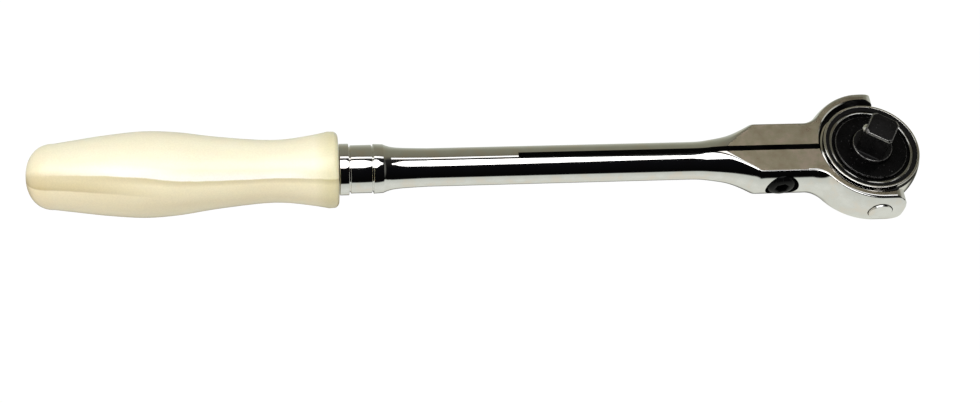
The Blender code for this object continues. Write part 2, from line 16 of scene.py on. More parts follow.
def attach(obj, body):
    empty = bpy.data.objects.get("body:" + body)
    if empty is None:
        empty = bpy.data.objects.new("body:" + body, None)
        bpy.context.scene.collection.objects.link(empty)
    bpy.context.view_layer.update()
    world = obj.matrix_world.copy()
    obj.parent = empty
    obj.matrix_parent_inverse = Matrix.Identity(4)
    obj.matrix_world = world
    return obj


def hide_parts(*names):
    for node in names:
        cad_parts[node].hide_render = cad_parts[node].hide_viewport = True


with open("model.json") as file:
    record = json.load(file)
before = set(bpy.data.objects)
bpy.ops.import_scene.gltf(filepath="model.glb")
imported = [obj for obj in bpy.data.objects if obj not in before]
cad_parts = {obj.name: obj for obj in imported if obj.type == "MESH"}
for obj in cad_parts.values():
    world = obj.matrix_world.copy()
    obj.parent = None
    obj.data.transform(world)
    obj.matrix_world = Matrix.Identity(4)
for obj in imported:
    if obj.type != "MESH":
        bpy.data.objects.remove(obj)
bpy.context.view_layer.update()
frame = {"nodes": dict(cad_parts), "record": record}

MM = 0.001
JOINTS = {joint["name"]: joint for joint in frame["record"]["behaviour"]["joints"]}
PIVOT = Vector(JOINTS["head_tilt"]["pos_m"])
INSIDE = 0.02  # how far round surfaces keep inside the CAD solid's corners
SHARP = 32.0  # degrees: an edge that turns by more stays sharp
MARK = 0.03  # how near a face's middle must be to a surface to count as part of it
SLOPING = (0.12, 0.985)  # the upward share of a face's normal, between upright and level

# Camera, measured from the pivot, with its view and up directions
CAMERA_AT = (-193.24, -252.26, 402.30)
CAMERA_VIEW = (0.13285, 0.50562, -0.85247)
CAMERA_UP = (0.02842, 0.85779, 0.51321)
CAMERA_LENS = 53.45
CAMERA_SENSOR = 36.0

# Grip
BUTT_X = -277.0
GRIP_FRONT_X = -179.0
GRIP_BORE = (4.9, -250.5)
LIP_R = 12.45
LIP_ROUND = 1.9
LIP_X = -182.2
GRIP_SWELL = (
    (LIP_X, LIP_R),
    (-187.4, 11.45),
    (-196.0, 10.3),
    (-204.0, 10.3),
    (-218.0, 11.65),
    (-230.0, 13.3),
    (-240.6, 13.82),
    (-252.0, 12.85),
    (-262.0, 11.45),
    (-268.5, 10.5),
)
BUTT_POWER = 2.2

# Shank, collar and fork
SHANK_R = 6.3
TANG_R = 4.6
TANG_END_X = -249.0
COLLAR_START_X = -178.7
REAR_BAND_R = 8.4
MIDDLE_BAND_R = 7.85
FRONT_BAND_R = 8.1
GROOVE_R = 7.4
GROOVE_X = (-175.4, -168.0)
GROOVE_WIDTH = 0.5
FLARE = ((-164.6, 7.95), (-163.4, 7.45), (-161.5, 6.95), (-158.0, 6.6), (-150.0, SHANK_R))
FORK_T = 14.3
FLAT_HALF_W = 9.3
BAR_R = math.hypot(FLAT_HALF_W, FORK_T / 2)
SHOULDER = ((-52.0, 1.55), (-49.0, 3.45), (-46.0, 5.4), (-43.0, 7.4), (-40.9, 8.8), (-40.1, 9.2))
NECK = ((-64.0, SHANK_R), (-61.0, SHANK_R + 0.02), (-58.0, 6.45), (-55.0, 6.85))
BLOCK_START_X = -39.2
BALL_SEAT_X = 0.3
ARM_R = 22.0
NEAR_TIP_X = 8.0
FAR_TIP_X = 5.0
ARM_TIP_ROUND = 4.0
PULL_START_X = -8.0  # where the far arm's shortening starts
FILLET_R = 8.0
FORK_BORE_R = 18.3
SLIT_START_X = -120.5
SLIT_END_X = -10.0
SLIT_REACH = 14.0
CRISP_X = (-41.0, -24.0)  # where the flats' edges are crisp
CRISP_BLEND = 0.05
SOFT_BLEND = 0.5
EDGE_SPREAD = 0.07  # radians each side of a flat's edge that get closer points
OWN_NORMAL = 0.93  # how closely a face must follow the turned surface to take its normal
BORE_NORMAL = 0.97  # and the fork's bore
SLIT_W = 2.0

# Screw and pins
SCREW_X = -31.9
SCREW_HEAD_R = 5.25
SCREW_SHANK_R = 2.9
SCREW_SEAT_Y = -7.9
SCREW_TOP_Y = -11.75
SCREW_END_Y = 10.9
SCREW_SEAT_R = 5.65
SCREW_HOLE_R = 3.1
SCREW_KEY = 4.0
SCREW_KEY_DEPTH = 2.0
PIN_HEAD_R = 4.0
PIN_HOLE_R = 4.15
PIN_OUTER_Y = 22.3
PIN_SHOULDER_Y = 17.7
PIN_INNER_Y = 13.0
SPIGOT_R = 3.0
SPIGOT_HOLE = (3.1, 12.7)
HEAD_FLAT_Y = 17.0

# Head
BALL_R = 17.7
HOUSING_BOTTOM_Z = -7.2
RIM_R = 16.6
RIM_TOP_Z = 6.5
LEDGE_R = 15.75
LEDGE_Z = 6.15
SEAT_R = 14.4
SEAT_Z = 3.7
RING_GROOVE_R = 15.1
RING_GROOVE_Z = (4.75, 5.85)
GEAR_CAVITY = (8.75, -3.8)
BEARING = (4.75, -6.6)
PAWL_CAVITY_R = 12.0
PAWL_CAVITY_HALF_ANGLE = 50.0
PAWL_CAVITY_Z = -3.3
COVER_R = 14.2
COVER_Z = (3.75, 4.7)
COVER_RAISED_R = 12.4
COVER_TOP_Z = 6.0
HUB_HOLE_R = 6.95
SEAL_SEAT = (7.9, 4.5)
RING_R = (13.5, 14.9)
RING_Z = (4.82, 5.74)
RING_GAP = 26.0
RING_GAP_AT = 52.0

# Drive gear and ball
TEETH = 36
GEAR_TIP_R = 8.4
GEAR_ROOT_R = 7.6
GEAR_Z = (-3.2, 3.2)
TOOTH_HALF = (3.6, 1.1)  # degrees, at a tooth's root and its tip
LOWER_HUB_R = 4.65
LOWER_HUB_Z = -6.4
HUB_R = 6.8
HUB_TOP_Z = 7.5
SQUARE = 9.53
SQUARE_TOP_Z = 18.0
SQUARE_CORNER_R = 6.15
SQUARE_ANGLE = 58.0
DETENT_Z = 13.6
DETENT_R = 1.75
DETENT_HOLE_R = 1.85
DETENT_OUT = 1.0
DETENT_HOLE_DEPTH = 5.0

# Lever
LEVER_X = -13.2
POST_R = 2.0
POST_HOLE_R = 2.1
POST_TOP_Z = 3.2
POST_POCKET_R = 3.15
LEVER_Z = (-9.1, -7.45)
LEVER_DISC_R = 2.45
LEVER_TIP_R = 2.1
LEVER_LENGTH = 13.5
LEVER_REST = -30.0
CLIP_GROOVE = (1.58, -3.2, -2.5)
SELECTOR_HOLE = (1.12, -1.5)


# ---------------------------------------------------------------- outlines


def arc(centre, radius, start, end, steps):
    """Points on an arc between two angles in degrees, both ends included."""
    points = []
    for k in range(steps + 1):
        angle = math.radians(start + (end - start) * k / steps)
        points.append((centre[0] + radius * math.cos(angle), centre[1] + radius * math.sin(angle)))
    return points


def spline(a, b, c, d, t):
    """One coordinate of a Catmull-Rom span from b to c."""
    return 0.5 * (2 * b + (c - a) * t + (2 * a - 5 * b + 4 * c - d) * t**2 + (3 * b - a - 3 * c + d) * t**3)


def smooth_through(knots, steps):
    """A Catmull-Rom curve through 2D knots, with steps points to each span."""
    ends = [knots[0], *knots, knots[-1]]
    points = []
    for span in zip(ends, ends[1:], ends[2:], ends[3:]):
        for k in range(steps):
            points.append(tuple(spline(*knot_values, k / steps) for knot_values in zip(*span)))
    points.append(tuple(knots[-1]))
    return points


def rounded(points, radius, steps=4, closed=False):
    """The outline with each corner that turns by more than 12 degrees rounded, as far as its edges allow."""
    made = []
    count = len(points)
    for i, point in enumerate(points):
        here = Vector(point)
        if not closed and i in (0, count - 1):
            made.append(tuple(here))
            continue
        before = Vector(points[i - 1]) - here
        after = Vector(points[(i + 1) % count]) - here
        if before.length < 1e-6 or after.length < 1e-6:
            continue
        turn = math.pi - before.angle(after)
        if turn < math.radians(12):
            made.append(tuple(here))
            continue
        reach = min(radius * math.tan(turn / 2), 0.45 * before.length, 0.45 * after.length)
        start = here + before.normalized() * reach
        end = here + after.normalized() * reach
        for k in range(steps + 1):
            t = k / steps
            made.append(tuple(start * (1 - t) ** 2 + here * 2 * t * (1 - t) + end * t**2))
    return made


def polygon(sides, radius, first_angle=0, centre=(0, 0)):
    return arc(centre, radius, first_angle, first_angle + 360 * (sides - 1) / sides, sides - 1)


# ---------------------------------------------------------------- meshes


def to_object(name, bm, at=(0, 0, 0), smooth=True, sharp=SHARP):
    """An object in metres in the row frame from a bmesh in millimetres about a point given from the pivot."""
    bmesh.ops.remove_doubles(bm, verts=bm.verts, dist=2e-5)
    bmesh.ops.recalc_face_normals(bm, faces=bm.faces)
    place = Matrix.Translation(PIVOT + Vector(at) * MM) @ Matrix.Scale(MM, 4)
    bmesh.ops.transform(bm, matrix=place, verts=bm.verts)
    mesh = bpy.data.meshes.new(name)
    bm.to_mesh(mesh)
    bm.free()
    obj = bpy.data.objects.new(name, mesh)
    bpy.context.scene.collection.objects.link(obj)
    if smooth:
        mesh.shade_smooth()
        mesh.set_sharp_from_angle(angle=math.radians(sharp))
    return obj


AXIS_TURN = {
    "X": Matrix(((0, 0, 1), (1, 0, 0), (0, 1, 0))).to_4x4(),
    "Y": Matrix(((1, 0, 0), (0, 0, 1), (0, -1, 0))).to_4x4(),
    "Z": Matrix.Identity(4),
}


def lathe(name, outline, segments=128, axis="Z", at=(0, 0, 0), turn=None):
    """Revolves (radius, height) points about an axis. An open outline starts and ends at radius 0."""
    bm = bmesh.new()
    rings = []
    for radius, height in outline:
        count = segments if radius > 1e-6 else 1
        ring = []
        for i in range(count):
            angle = 2 * math.pi * i / segments
            ring.append(bm.verts.new((radius * math.cos(angle), radius * math.sin(angle), height)))
        rings.append(ring)
    pairs = list(zip(rings, rings[1:]))
    if outline[0][0] > 1e-6:
        pairs.append((rings[-1], rings[0]))
    for low, high in pairs:
        for i in range(segments):
            j = (i + 1) % segments
            corners = [low[i % len(low)], low[j % len(low)], high[j % len(high)], high[i % len(high)]]
            corners = list(dict.fromkeys(corners))
            if len(corners) > 2:
                bm.faces.new(corners)
    bmesh.ops.transform(bm, matrix=(turn or Matrix.Identity(4)) @ AXIS_TURN[axis], verts=bm.verts)
    return to_object(name, bm, at)


def layered(name, layers, at=(0, 0, 0), turn=None):
    """A closed solid through (outline, height) layers whose outlines have equal numbers of points."""
    bm = bmesh.new()
    rings = [[bm.verts.new((x, y, z)) for x, y in outline] for outline, z in layers]
    for low, high in zip(rings, rings[1:]):
        for i in range(len(low)):
            j = (i + 1) % len(low)
            bm.faces.new((low[i], low[j], high[j], high[i]))
    bm.faces.new(rings[0])
    bm.faces.new(rings[-1])
    if turn:
        bmesh.ops.transform(bm, matrix=turn, verts=bm.verts)
    return to_object(name, bm, at)


def inset(outline, distance):
    """A counter-clockwise outline moved inwards."""
    made = []
    for i, point in enumerate(outline):
        here = Vector(point)
        along = (Vector(outline[(i + 1) % len(outline)]) - Vector(outline[i - 1])).normalized()
        made.append(tuple(here + Vector((-along.y, along.x)) * distance))
    return made


def plate(name, outline, low, high, edge=0.2, steps=3, **where):
    """An extruded outline with rounded edges above and below."""
    layers = []
    for k in range(steps + 1):
        angle = math.radians(90 * k / steps)
        layers.append((inset(outline, edge * (1 - math.sin(angle))), low + edge * (1 - math.cos(angle))))
    for k in range(steps, -1, -1):
        angle = math.radians(90 * k / steps)
        layers.append((inset(outline, edge * (1 - math.sin(angle))), high - edge * (1 - math.cos(angle))))
    return layered(name, layers, **where)


def boolean(obj, operation, *others):
    """Applies Booleans and removes the other objects."""
    for other in others:
        modifier = obj.modifiers.new("boolean", "BOOLEAN")
        modifier.operation = operation
        modifier.solver = "EXACT"
        modifier.object = other
        graph = bpy.context.evaluated_depsgraph_get()
        mesh = bpy.data.meshes.new_from_object(obj.evaluated_get(graph))
        obj.modifiers.clear()
        old = obj.data
        obj.data = mesh
        mesh.name = old.name
        bpy.data.meshes.remove(old)
        bpy.data.objects.remove(other)
    obj.data.shade_smooth()
    obj.data.set_sharp_from_angle(angle=math.radians(SHARP))
    return obj


def coil(name, radius, wire, turns, start, end, turn, at, steps=28, sides=10):
    """A round-wire spring along +X, with closed ends, then turned into place."""
    count = int(turns * steps)
    bm = bmesh.new()
    rings = []
    for k in range(count + 1):
        angle = 2 * math.pi * k / steps
        along = start + wire + (end - start - 2 * wire) * k / count
        ring = []
        for s in range(sides):
            around = 2 * math.pi * s / sides
            r = radius + wire * math.cos(around)
            place = (along + wire * math.sin(around), r * math.cos(angle), r * math.sin(angle))
            ring.append(bm.verts.new(place))
        rings.append(ring)
    for low, high in zip(rings, rings[1:]):
        for s in range(sides):
            t = (s + 1) % sides
            bm.faces.new((low[s], low[t], high[t], high[s]))
    bm.faces.new(rings[0])
    bm.faces.new(rings[-1])
    bmesh.ops.transform(bm, matrix=turn, verts=bm.verts)
    return to_object(name, bm, at)


def rod(name, radius, start, end, segments, axis, **where):
    return lathe(name, [(0, start), (radius, start), (radius, end), (0, end)], segments, axis, **where)


def middle_of(face):
    """The middle of a face in millimetres from the pivot."""
    return (face.center - PIVOT) / MM


def is_sloping(face):
    return SLOPING[0] < face.normal.z < SLOPING[1]


# ---------------------------------------------------------------- materials


class Nodes:
    """Short ways to add nodes to a tree. A value is a number, a colour or another node's output."""

    def __init__(self, tree):
        self.nodes = tree.nodes
        self.links = tree.links

    def put(self, value, socket):
        if isinstance(value, (int, float)):
            socket.default_value = (value, value, value, 1) if socket.type == "RGBA" else value
        elif isinstance(value, tuple):
            socket.default_value = (*value, 1)
        else:
            self.links.new(value, socket)

    def split(self, kind="Object"):
        """X, Y and Z of texture coordinates."""
        split = self.nodes.new("ShaderNodeSeparateXYZ")
        self.links.new(self.nodes.new("ShaderNodeTexCoord").outputs[kind], split.inputs[0])
        return split.outputs

    def math(self, operation, *values):
        node = self.nodes.new("ShaderNodeMath")
        node.operation = operation
        for socket, value in zip(node.inputs, values):
            self.put(value, socket)
        return node.outputs[0]

    def eased(self, value, low, high, to_low, to_high):
        """Moves smoothly from to_low to to_high as the value goes from low to high."""
        node = self.nodes.new("ShaderNodeMapRange")
        node.interpolation_type = "SMOOTHSTEP"
        for name, number in zip(("From Min", "From Max", "To Min", "To Max"), (low, high, to_low, to_high)):
            node.inputs[name].default_value = number
        self.links.new(value, node.inputs["Value"])
        return node.outputs["Result"]

    def ramp(self, factor, *stops):
        """Colours, or grey values, at places from 0 to 1 of a factor."""
        ramp = self.nodes.new("ShaderNodeValToRGB")
        elements = ramp.color_ramp.elements
        for i, (place, colour) in enumerate(stops):
            element = elements[i] if i < 2 else elements.new(place)
            element.position = place
            element.color = (*colour, 1) if isinstance(colour, tuple) else (colour, colour, colour, 1)
        self.links.new(factor, ramp.inputs["Fac"])
        return ramp.outputs["Color"]

    def mix(self, factor, first, second, blend="MIX"):
        mix = self.nodes.new("ShaderNodeMix")
        mix.data_type = "RGBA"
        mix.blend_type = blend
        colours = [socket for socket in mix.inputs if socket.type == "RGBA"]
        for socket, value in zip([mix.inputs["Factor"], *colours], (factor, first, second)):
            self.put(value, socket)
        return next(output for output in mix.outputs if output.type == "RGBA")


class Finish(Nodes):
    """One procedural material around a Principled shader. Texture sizes are in millimetres."""

    def __init__(self, name, metallic=0.0, **sockets):
        self.material = bpy.data.materials.new(name)
        self.material.use_nodes = True
        super().__init__(self.material.node_tree)
        self.shader = self.nodes["Principled BSDF"]
        self.shader.inputs["Metallic"].default_value = metallic
        for socket, value in sockets.items():
            self.shader.inputs[socket.replace("_", " ")].default_value = value
        self.coordinates = self.nodes.new("ShaderNodeTexCoord").outputs["Object"]
        self.bumped = None

    def stretched(self, stretch):
        mapping = self.nodes.new("ShaderNodeMapping")
        mapping.inputs["Scale"].default_value = [1 / (size * MM) for size in stretch]
        self.links.new(self.coordinates, mapping.inputs["Vector"])
        return mapping.outputs["Vector"]

    def noise(self, size, detail=3.0, roughness=0.5):
        """Noise whose features are about size millimetres, which may differ along X, Y and Z."""
        size = size if isinstance(size, tuple) else (size,) * 3
        noise = self.nodes.new("ShaderNodeTexNoise")
        noise.inputs["Scale"].default_value = 1.0
        noise.inputs["Detail"].default_value = detail
        noise.inputs["Roughness"].default_value = roughness
        self.links.new(self.stretched(size), noise.inputs["Vector"])
        return noise.outputs["Fac"]

    def along_x(self, start, end):
        """0 to 1 between two places along the tool, in millimetres from the pivot."""
        span = (end - start) * MM
        return self.math("MULTIPLY_ADD", self.split()["X"], 1 / span, -(PIVOT.x + start * MM) / span)

    def colour(self, socket):
        self.links.new(socket, self.shader.inputs["Base Color"])
        return self

    def roughness(self, socket):
        self.links.new(socket, self.shader.inputs["Roughness"])
        return self

    def bump(self, height, depth, strength=1.0):
        """Adds a bump of that depth in millimetres, on top of any earlier one."""
        bump = self.nodes.new("ShaderNodeBump")
        bump.inputs["Strength"].default_value = strength
        bump.inputs["Distance"].default_value = depth * MM
        self.links.new(height, bump.inputs["Height"])
        if self.bumped:
            self.links.new(self.bumped, bump.inputs["Normal"])
        self.bumped = bump.outputs["Normal"]
        self.links.new(self.bumped, self.shader.inputs["Normal"])
        return self


# The lower edge of a painted highlight along the near side of the grip, with painted shade under it: (x,
# degrees about the axis)
PAINTED_HIGHLIGHT_EDGE = (
    (-277.0, 120.0),
    (-262.0, 121.0),
    (-247.0, 123.5),
    (-236.0, 128.5),
    (-228.0, 133.0),
    (-213.0, 135.0),
    (-198.0, 135.0),
    (-180.0, 136.0),
)
PAINTED_HIGHLIGHT_SPAN = (110.0, 140.0)
PAINTED_LIGHT_REACH = 40.0  # degrees each side of the edge that the painted highlight and painted shade cover


def pearl_plastic(name):
    """Glossy cream plastic with the soft flow lines and depth of a pearl filler. Along the near side it has a
    painted highlight streak with painted shade under it, and it has painted shade at the butt and the lip.
    """
    made = Finish(name, Coat_Weight=0.5, Coat_Roughness=0.12, Subsurface_Weight=0.15, Subsurface_Scale=0.003)
    made.shader.inputs["Subsurface Radius"].default_value = (1.0, 0.7, 0.4)
    flow = made.noise((30.0, 6.0, 6.0), detail=2.0)
    grain = made.noise(0.5, detail=2.0)
    cream = ((0.25, (0.92, 0.845, 0.64)), (0.55, (0.955, 0.895, 0.68)), (0.85, (0.975, 0.92, 0.72)))
    base = made.ramp(flow, *cream)
    fleck = made.ramp(grain, (0.35, 0.95), (0.65, 1.0))
    start, end = PAINTED_HIGHLIGHT_EDGE[0][0], PAINTED_HIGHLIGHT_EDGE[-1][0]
    low, high = PAINTED_HIGHLIGHT_SPAN
    length = made.along_x(start, end)
    edge = [((x - start) / (end - start), (turn - low) / (high - low)) for x, turn in PAINTED_HIGHLIGHT_EDGE]
    path = made.ramp(length, *edge)
    wander = made.math("MULTIPLY_ADD", made.noise((8.0, 8.0, 8.0), detail=4.0), 4.0, low - 2.0)
    axis = made.split()
    up = made.math("SUBTRACT", axis["Z"], PIVOT.z)
    angle = made.math("DEGREES", made.math("ARCTAN2", up, axis["Y"]))
    wrapped = made.math("ADD", angle, made.math("MULTIPLY", made.math("LESS_THAN", angle, -90.0), 360.0))
    past = made.math("SUBTRACT", wrapped, made.math("MULTIPLY_ADD", path, high - low, wander))
    place = made.math("MULTIPLY_ADD", past, 0.5 / PAINTED_LIGHT_REACH, 0.5)
    pale = (1.0, 1.0, 1.0)
    # Towards the butt: painted highlight above the edge and a broad painted tan shade under it.
    rear = made.ramp(
        place,
        (0.0, pale),
        (0.38, (0.97, 0.95, 0.90)),
        (0.5, (0.80, 0.75, 0.64)),
        (0.72, (0.70, 0.63, 0.48)),
        (0.80, (0.62, 0.55, 0.40)),
        (0.83, (0.93, 0.88, 0.80)),
        (1.0, (0.88, 0.82, 0.72)),
    )
    # Towards the lip: painted highlight above the edge and a narrow painted shade line under it.
    front = made.ramp(
        place,
        (0.0, pale),
        (0.49, pale),
        (0.515, (0.72, 0.68, 0.56)),
        (0.56, (0.78, 0.74, 0.64)),
        (0.62, (0.93, 0.90, 0.83)),
        (1.0, (0.84, 0.80, 0.71)),
    )
    painted_light = made.mix(made.ramp(length, (0.0, 1.0), (0.2, 0.75), (0.45, 0.0)), front, rear)
    # Painted shade: the rear of the butt and the front of the lip are darker.
    ends = ((0.0, (0.97, 0.93, 0.86)), (0.1, pale), (0.93, pale), (0.975, (0.86, 0.86, 0.76)))
    painted_shade = made.ramp(length, *ends)
    tinted = made.mix(1.0, made.mix(1.0, base, painted_light, "MULTIPLY"), painted_shade, "MULTIPLY")
    # A painted highlight: near white just above the edge, strongest along the middle of the grip.
    painted_highlight = made.ramp(place, (0.3, 0.0), (0.43, 0.75), (0.49, 0.85), (0.51, 0.0))
    highlight_strength_along = made.ramp(length, (0.1, 0.0), (0.32, 1.0), (0.85, 0.9), (0.93, 0.0))
    tinted = made.mix(made.mix(1.0, painted_highlight, highlight_strength_along, "MULTIPLY"), tinted, (1.0, 0.99, 0.94))
    made.colour(made.mix(1.0, tinted, fleck, "MULTIPLY"))
    made.roughness(made.ramp(made.noise(6.0), (0.3, 0.3), (0.7, 0.42)))
    made.bump(made.noise((9.0, 3.0, 3.0), detail=2.0), 0.02)
    return made.material


def polished_chrome(name, tint=(0.86, 0.86, 0.845), rough=(0.035, 0.085)):
    """Bright plating with handling marks: fine hairlines and a faint uneven polish."""
    made = Finish(name, metallic=1.0)
    smudge = made.noise(5.0, detail=4.0, roughness=0.6)
    warm = (tint[0] * 0.99, tint[1] * 0.93, tint[2] * 0.88)
    made.colour(made.ramp(smudge, (0.36, warm), (0.5, tuple(0.95 * value for value in tint)), (0.62, tint)))
    made.roughness(made.ramp(smudge, (0.35, rough[0]), (0.75, rough[1])))
    hairline = made.noise((3.0, 0.09, 0.09), detail=2.0)
    made.bump(made.ramp(hairline, (0.62, 1.0), (0.68, 0.0)), 0.0006)
    made.bump(made.noise(2.2, detail=1.0), 0.0012)
    return made.material


def satin_flat(name):
    """Ground and plated flats: fine lengthwise grain, warm and cool clouds, and painted shade that darkens
    them towards the arms' tips.
    """
    made = Finish(name, metallic=1.0)
    cloud = made.noise(4.5, detail=5.0, roughness=0.62)
    grain = made.noise((1.6, 0.07, 0.3), detail=3.0)
    greys = ((0.34, (0.45, 0.375, 0.275)), (0.5, (0.50, 0.45, 0.325)), (0.66, (0.60, 0.50, 0.40)))
    warm = made.ramp(cloud, *greys)
    lines = made.ramp(grain, (0.3, 0.88), (0.7, 1.0))
    # Painted shade: the flats darken along the tool towards the arms' tips.
    painted_shade = made.ramp(made.along_x(-60.0, 10.0), (0.0, 1.05), (0.6, 0.95), (0.82, 0.6), (1.0, 0.42))
    made.colour(made.mix(1.0, made.mix(1.0, warm, lines, "MULTIPLY"), painted_shade, "MULTIPLY"))
    made.roughness(made.ramp(cloud, (0.3, 0.27), (0.7, 0.38)))
    made.bump(grain, 0.003)
    return made.material


def black_oxide(name, shade=0.016, rough=(0.2, 0.36), wear=0.06, gloss=0.25):
    """Blackened steel: a deep uneven black, with specks rubbed back to the metal."""
    made = Finish(name)
    made.shader.inputs["Specular IOR Level"].default_value = gloss
    cloud = made.noise(2.4, detail=5.0, roughness=0.6)
    low = (shade * 0.7, shade * 0.68, shade * 0.72)
    high = (shade * 1.5, shade * 1.4, shade * 1.45)
    dark = made.ramp(cloud, (0.3, low), (0.7, high))
    speck = made.ramp(made.noise(0.55, detail=2.0), (0.7, 0.0), (0.76, 1.0))
    made.colour(made.mix(speck, dark, (wear, wear, wear * 0.97)))
    made.roughness(made.ramp(cloud, (0.3, rough[0]), (0.7, rough[1])))
    made.bump(made.noise(0.35, detail=3.0), 0.004)
    return made.material


def plain_steel(name, tint=(0.56, 0.55, 0.53)):
    """Unplated steel with turning lines and a film of oil."""
    made = Finish(name, metallic=1.0)
    cloud = made.noise(2.0, detail=4.0)
    dull = tuple(value * 0.7 for value in tint)
    made.colour(made.ramp(cloud, (0.3, dull), (0.7, tint)))
    made.roughness(made.ramp(cloud, (0.3, 0.18), (0.7, 0.36)))
    made.bump(made.noise(0.22, detail=2.0), 0.004)
    return made.material


def worn_edge(name, tint=0.3):
    """Black finish rubbed through to bright steel along an edge, in patches."""
    made = Finish(name)
    patch = made.noise(1.3, detail=4.0, roughness=0.6)
    made.colour(made.ramp(patch, (0.38, (0.05, 0.048, 0.05)), (0.6, (tint, tint * 0.98, tint * 0.94))))
    made.links.new(made.ramp(patch, (0.34, 0.25), (0.56, 1.0)), made.shader.inputs["Metallic"])
    made.roughness(made.ramp(patch, (0.3, 0.34), (0.7, 0.2)))
    made.bump(made.noise(0.3, detail=2.0), 0.004)
    return made.material


def black_rubber(name):
    made = Finish(name)
    grain = made.noise(0.3, detail=4.0)
    made.colour(made.ramp(grain, (0.3, (0.012, 0.012, 0.013)), (0.7, (0.03, 0.03, 0.032))))
    made.roughness(made.ramp(grain, (0.3, 0.5), (0.7, 0.72)))
    made.bump(grain, 0.01)
    return made.material


# ---------------------------------------------------------------- pieces


def finish_piece(obj, body, slot, node, *materials):
    """Puts a piece on its body, hides the CAD part it stands for and gives it its materials."""
    old = [face.material_index for face in obj.data.polygons]
    obj.data.materials.clear()
    for made in materials:
        obj.data.materials.append(made)
    for face, index in zip(obj.data.polygons, old):
        face.material_index = min(index, len(materials) - 1)
    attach(obj, body)
    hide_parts(node)
    return obj


def make_grip():
    lip = [(LIP_R - LIP_ROUND + r, x) for r, x in arc((0, LIP_X + 1.3), LIP_ROUND, 80, 15, 10)]
    swell = [(r, x) for x, r in smooth_through(GRIP_SWELL, 8)]
    butt_x, butt_r = GRIP_SWELL[-1]
    butt = []
    for k in range(1, 24):
        along = math.sin(math.radians(90 * k / 24))
        radius = butt_r * (1 - along**BUTT_POWER) ** (1 / BUTT_POWER)
        butt.append((radius, butt_x + along * (BUTT_X - butt_x)))
    bore_r, bore_end = GRIP_BORE
    outline = [(0, bore_end), (bore_r, bore_end), (bore_r, GRIP_FRONT_X - 0.4), (bore_r + 0.4, GRIP_FRONT_X)]
    outline += [(r - INSIDE, x) for r, x in lip + swell + butt]
    outline.append((0, BUTT_X + INSIDE))
    grip = lathe("grip", outline, 160, "X")
    finish_piece(grip, "shank", "pearl_plastic", "handle_grip", pearl_plastic("pearl"))


def collar_outline():
    """(x, radius) of the tang, the collar's bands and grooves, and the flare down to the shank."""
    half = GROOVE_WIDTH / 2
    rear, front = GROOVE_X
    points = [
        (TANG_END_X, TANG_R - 0.8),
        (TANG_END_X + 0.8, TANG_R),
        (COLLAR_START_X, TANG_R),
        (COLLAR_START_X, REAR_BAND_R),
        (rear - half, REAR_BAND_R),
        (rear - half, GROOVE_R),
        (rear + half, GROOVE_R),
        (rear + half, MIDDLE_BAND_R),
        (front - half, MIDDLE_BAND_R),
        (front - half, GROOVE_R),
        (front + half, GROOVE_R),
        (front + half, FRONT_BAND_R),
        FLARE[0],
    ]
    return rounded(points, 0.22, 3) + smooth_through(FLARE, 6)[1:]


def fork_outline():
    """(x, radius) of the turned blank from the neck to the arms' tips."""
    half = FORK_T / 2
    flare = [*NECK, *[(x, math.hypot(w, half)) for x, w in SHOULDER], (BLOCK_START_X, BAR_R)]
    reach = ARM_R + FILLET_R
    fillet_r = BAR_R + FILLET_R
    fillet_x = BALL_SEAT_X - math.sqrt(reach**2 - fillet_r**2)
    meet = math.degrees(math.atan2(fillet_r, fillet_x - BALL_SEAT_X))
    profile = smooth_through(flare, 6)
    steps = int((fillet_x - BLOCK_START_X) / 0.6)
    profile += [(BLOCK_START_X + (fillet_x - BLOCK_START_X) * k / steps, BAR_R) for k in range(1, steps)]
    profile += arc((fillet_x, fillet_r), FILLET_R, -90, meet - 180, 24)
    profile += arc((BALL_SEAT_X, 0), ARM_R, meet, 90, 60)[1:]
    steps = int((NEAR_TIP_X - BALL_SEAT_X) / 0.3)
    profile += [(BALL_SEAT_X + (NEAR_TIP_X - BALL_SEAT_X) * k / steps, ARM_R) for k in range(1, steps + 1)]
    return profile


def tip_of(angle):
    """Where the arm on that side of the fork ends."""
    return FAR_TIP_X if math.cos(angle) > 0 else NEAR_TIP_X


def milled_height(x, tip_x):
    """Half the distance between the flats, falling along the round of the arms' tips."""
    past = x - (tip_x - ARM_TIP_ROUND)
    if past <= 0:
        return FORK_T / 2
    return FORK_T / 2 - ARM_TIP_ROUND + math.sqrt(max(ARM_TIP_ROUND**2 - past**2, 0))


def edge_softness(x):
    """How much the flats' edges are blended: crisp along the block, softer at the shoulder and the arms."""
    return CRISP_BLEND if CRISP_X[0] <= x <= CRISP_X[1] else SOFT_BLEND


def fork_radius(x, radius, angle):
    """The blank's radius at an angle from +Y, where the flats cut it, with the edge between them blended."""
    sine = abs(math.sin(angle))
    if sine < 1e-4:
        return radius
    flat = milled_height(x, tip_of(angle)) / sine
    soft = edge_softness(x)
    overlap = max(soft - abs(radius - flat), 0) / soft
    return min(radius, flat) - overlap**2 * soft / 4


def fork_angles(x, radius, count=26, edge=8, across=12):
    """Angles round a quarter section, close together where the flat's edge is."""
    height = milled_height(x, NEAR_TIP_X)
    corner = math.asin(min(height / radius, 1.0))
    spread = min(EDGE_SPREAD, 0.35 * corner)
    corner = min(corner, math.pi / 2 - 2.2 * spread)
    low, high = corner - spread, corner + spread
    angles = [low * k / count for k in range(count)]
    angles += [low + (high - low) * k / edge for k in range(edge)]
    angles += [high + (math.pi / 2 - high) * k / across for k in range(across + 1)]
    return angles


def pulled_back(x, angle):
    """Shortens the far arm: places past PULL_START_X move back as they near the tip."""
    share = min(max((x - PULL_START_X) / (NEAR_TIP_X - ARM_TIP_ROUND - PULL_START_X), 0), 1)
    return x - share * (NEAR_TIP_X - tip_of(angle))


